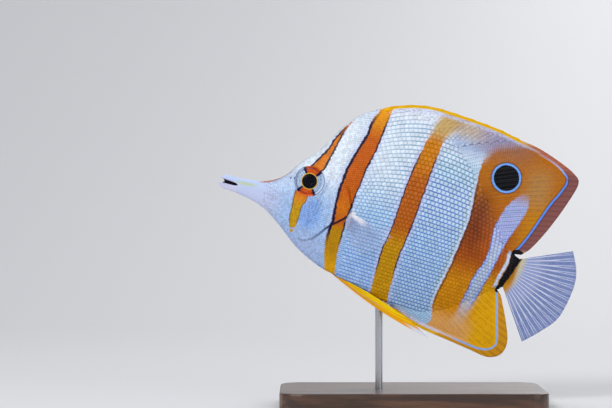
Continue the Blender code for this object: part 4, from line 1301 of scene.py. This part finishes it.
def make_eyeball_material():
    p = Paint("eyeball", Roughness=0.35, Specular_IOR_Level=0.08, Coat_Weight=0.02,
              Coat_Roughness=0.08)
    du, dv, radius = p.attribute("part")
    steep = abs(dv) / (radius | 0.1)
    strands = noise(vector(radius * 0.35, math("ARCTAN2", dv, du), 0), 6, 3)
    tone = mix(ramp(strands, 0.3, 0.7), (140, 176, 220), (216, 232, 250))
    rings = math("SINE", radius * 14)
    tone = mix(ramp(rings, 0.4, 1) * 0.4, tone, (84, 104, 160))
    tone = mix(ramp(steep, 0.7, 0.76), tone, (26, 20, 66))
    fire = mix(ramp(strands, 0.3, 0.75), (196, 62, 20), (240, 118, 40))
    tone = mix(ramp(steep, 0.84, 0.89), tone, fire)
    tone = mix(ramp(radius, 5, 5.3) * 0.6, tone, (60, 66, 110))
    tone = mix(ramp(radius, 3.46, 3.34), tone, (240, 196, 60))
    tone = mix(ramp(radius, PUPIL + 0.06, PUPIL - 0.04), tone, (7, 8, 18))
    p.set("Base Color", tone)
    return p.mat


def make_cornea_material():
    p = Paint("cornea", Roughness=0.03, IOR=1.38, Alpha=0.04, Coat_Weight=0.5, Coat_Roughness=0.02)
    p.set("Base Color", (20, 24, 40))
    return p.mat


def make_wood_material():
    p = Paint("stand_wood", Roughness=0.42, Coat_Weight=0.35, Coat_Roughness=0.18)
    places = p.stretched(14, 160, 160)
    grain, fibres = noise(places, 2.2, 6), noise(places, 14, 3)
    tone = mix(ramp(grain, 0.35, 0.68), (58, 36, 24), (104, 68, 44))
    tone = mix(ramp(fibres, 0.5, 0.8) * 0.4, tone, (38, 24, 17))
    p.set("Base Color", tone)
    p.bump(fibres, 0.25, 0.0002)
    return p.mat


def make_steel_material():
    p = Paint("stand_steel", Metallic=1, Roughness=0.28)
    brushed = noise(p.stretched(4000, 4000, 60), 1, 2)
    p.set("Base Color", mix(brushed, (176, 178, 184), (206, 208, 212)))
    p.set("Roughness", brushed.line(0.14, 0.2))
    return p.mat


# Stage

def make_stage():
    """A pale floor that curves up behind the model."""
    rows = [(-1.4, 0), (0.5, 0)]
    rows += [(0.5 + 0.5 * sin(a), 0.5 - 0.5 * cos(a)) for a in np.linspace(0.1, pi / 2, 12)]
    rows += [(1, 2.2)]
    points = [(x, y, z) for y, z in rows for x in (-3, 3)]
    mesh = bpy.data.meshes.new("floor")
    mesh.from_pydata(points, [], [(2 * i, 2 * i + 1, 2 * i + 3, 2 * i + 2)
                                  for i in range(len(rows) - 1)])
    mesh.shade_smooth()
    p = Paint("floor", Roughness=0.7)
    p.set("Base Color", (226, 226, 228))
    facing_away = node(p.tree, "NewGeometry", {}, "Backfacing")
    p.set("Alpha", math("SUBTRACT", 1, facing_away))     # open from behind and below
    mesh.materials.append(p.mat)
    floor = bpy.data.objects.new("floor", mesh)
    bpy.context.scene.collection.objects.link(floor)


def make_light(name, place_at, aim, size, watts, tint=(1, 1, 1)):
    data = bpy.data.lights.new(name, "AREA")
    data.shape, data.size, data.energy, data.color = "DISK", size, watts, tint
    light = bpy.data.objects.new(name, data)
    light.location = place_at
    light.rotation_mode = "QUATERNION"
    light.rotation_quaternion = (Vector(aim) - Vector(place_at)).to_track_quat("-Z", "Y")
    bpy.context.scene.collection.objects.link(light)


def make_camera():
    data = bpy.data.cameras.new("camera")
    data.lens, data.sensor_width = 130, 36
    data.clip_start, data.clip_end = 0.02, 20
    camera = bpy.data.objects.new("camera", data)
    camera.location = Vector((-43.3, -906, 82.4)) * MM
    camera.rotation_euler = (radians(90), 0, 0)
    bpy.context.scene.collection.objects.link(camera)
    bpy.context.scene.camera = camera


def make_world():
    world = bpy.data.worlds.new("studio")
    world.use_nodes = True
    light = world.node_tree.nodes["Background"]
    light.inputs["Color"].default_value = (0.93, 0.95, 1, 1)
    light.inputs["Strength"].default_value = 0.38
    bpy.context.scene.world = world


skin_mat, scale_mat = make_skin_material(), make_scale_material()
fin_mat, tail_mat = make_fin_material(), make_tail_material()
make_skin(skin_mat)
make_body_scales(scale_mat)
make_fins(fin_mat, scale_mat, tail_mat)
make_pectorals(make_pectoral_material())
make_pelvics(make_pelvic_material())
make_eyes(make_eyeball_material(), make_cornea_material())
for part, mat in (("stand_base", make_wood_material()), ("stand_rod", make_steel_material())):
    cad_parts[part].data.materials.clear()
    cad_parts[part].data.materials.append(mat)

make_stage()
make_light("key", (-0.55, -0.75, 0.75), (-0.01, 0, 0.08), 0.45, 6)
make_light("fill", (0.75, -0.7, 0.35), (0, 0, 0.07), 0.6, 2, (0.96, 0.98, 1))
make_light("top", (0, 0.15, 0.95), (0, 0, 0.07), 0.5, 2)
make_light("back", (0.3, 0.85, 0.5), (0, 0, 0.08), 0.5, 1.6)
make_world()
make_camera()
bpy.context.scene.view_settings.view_transform = "Standard"
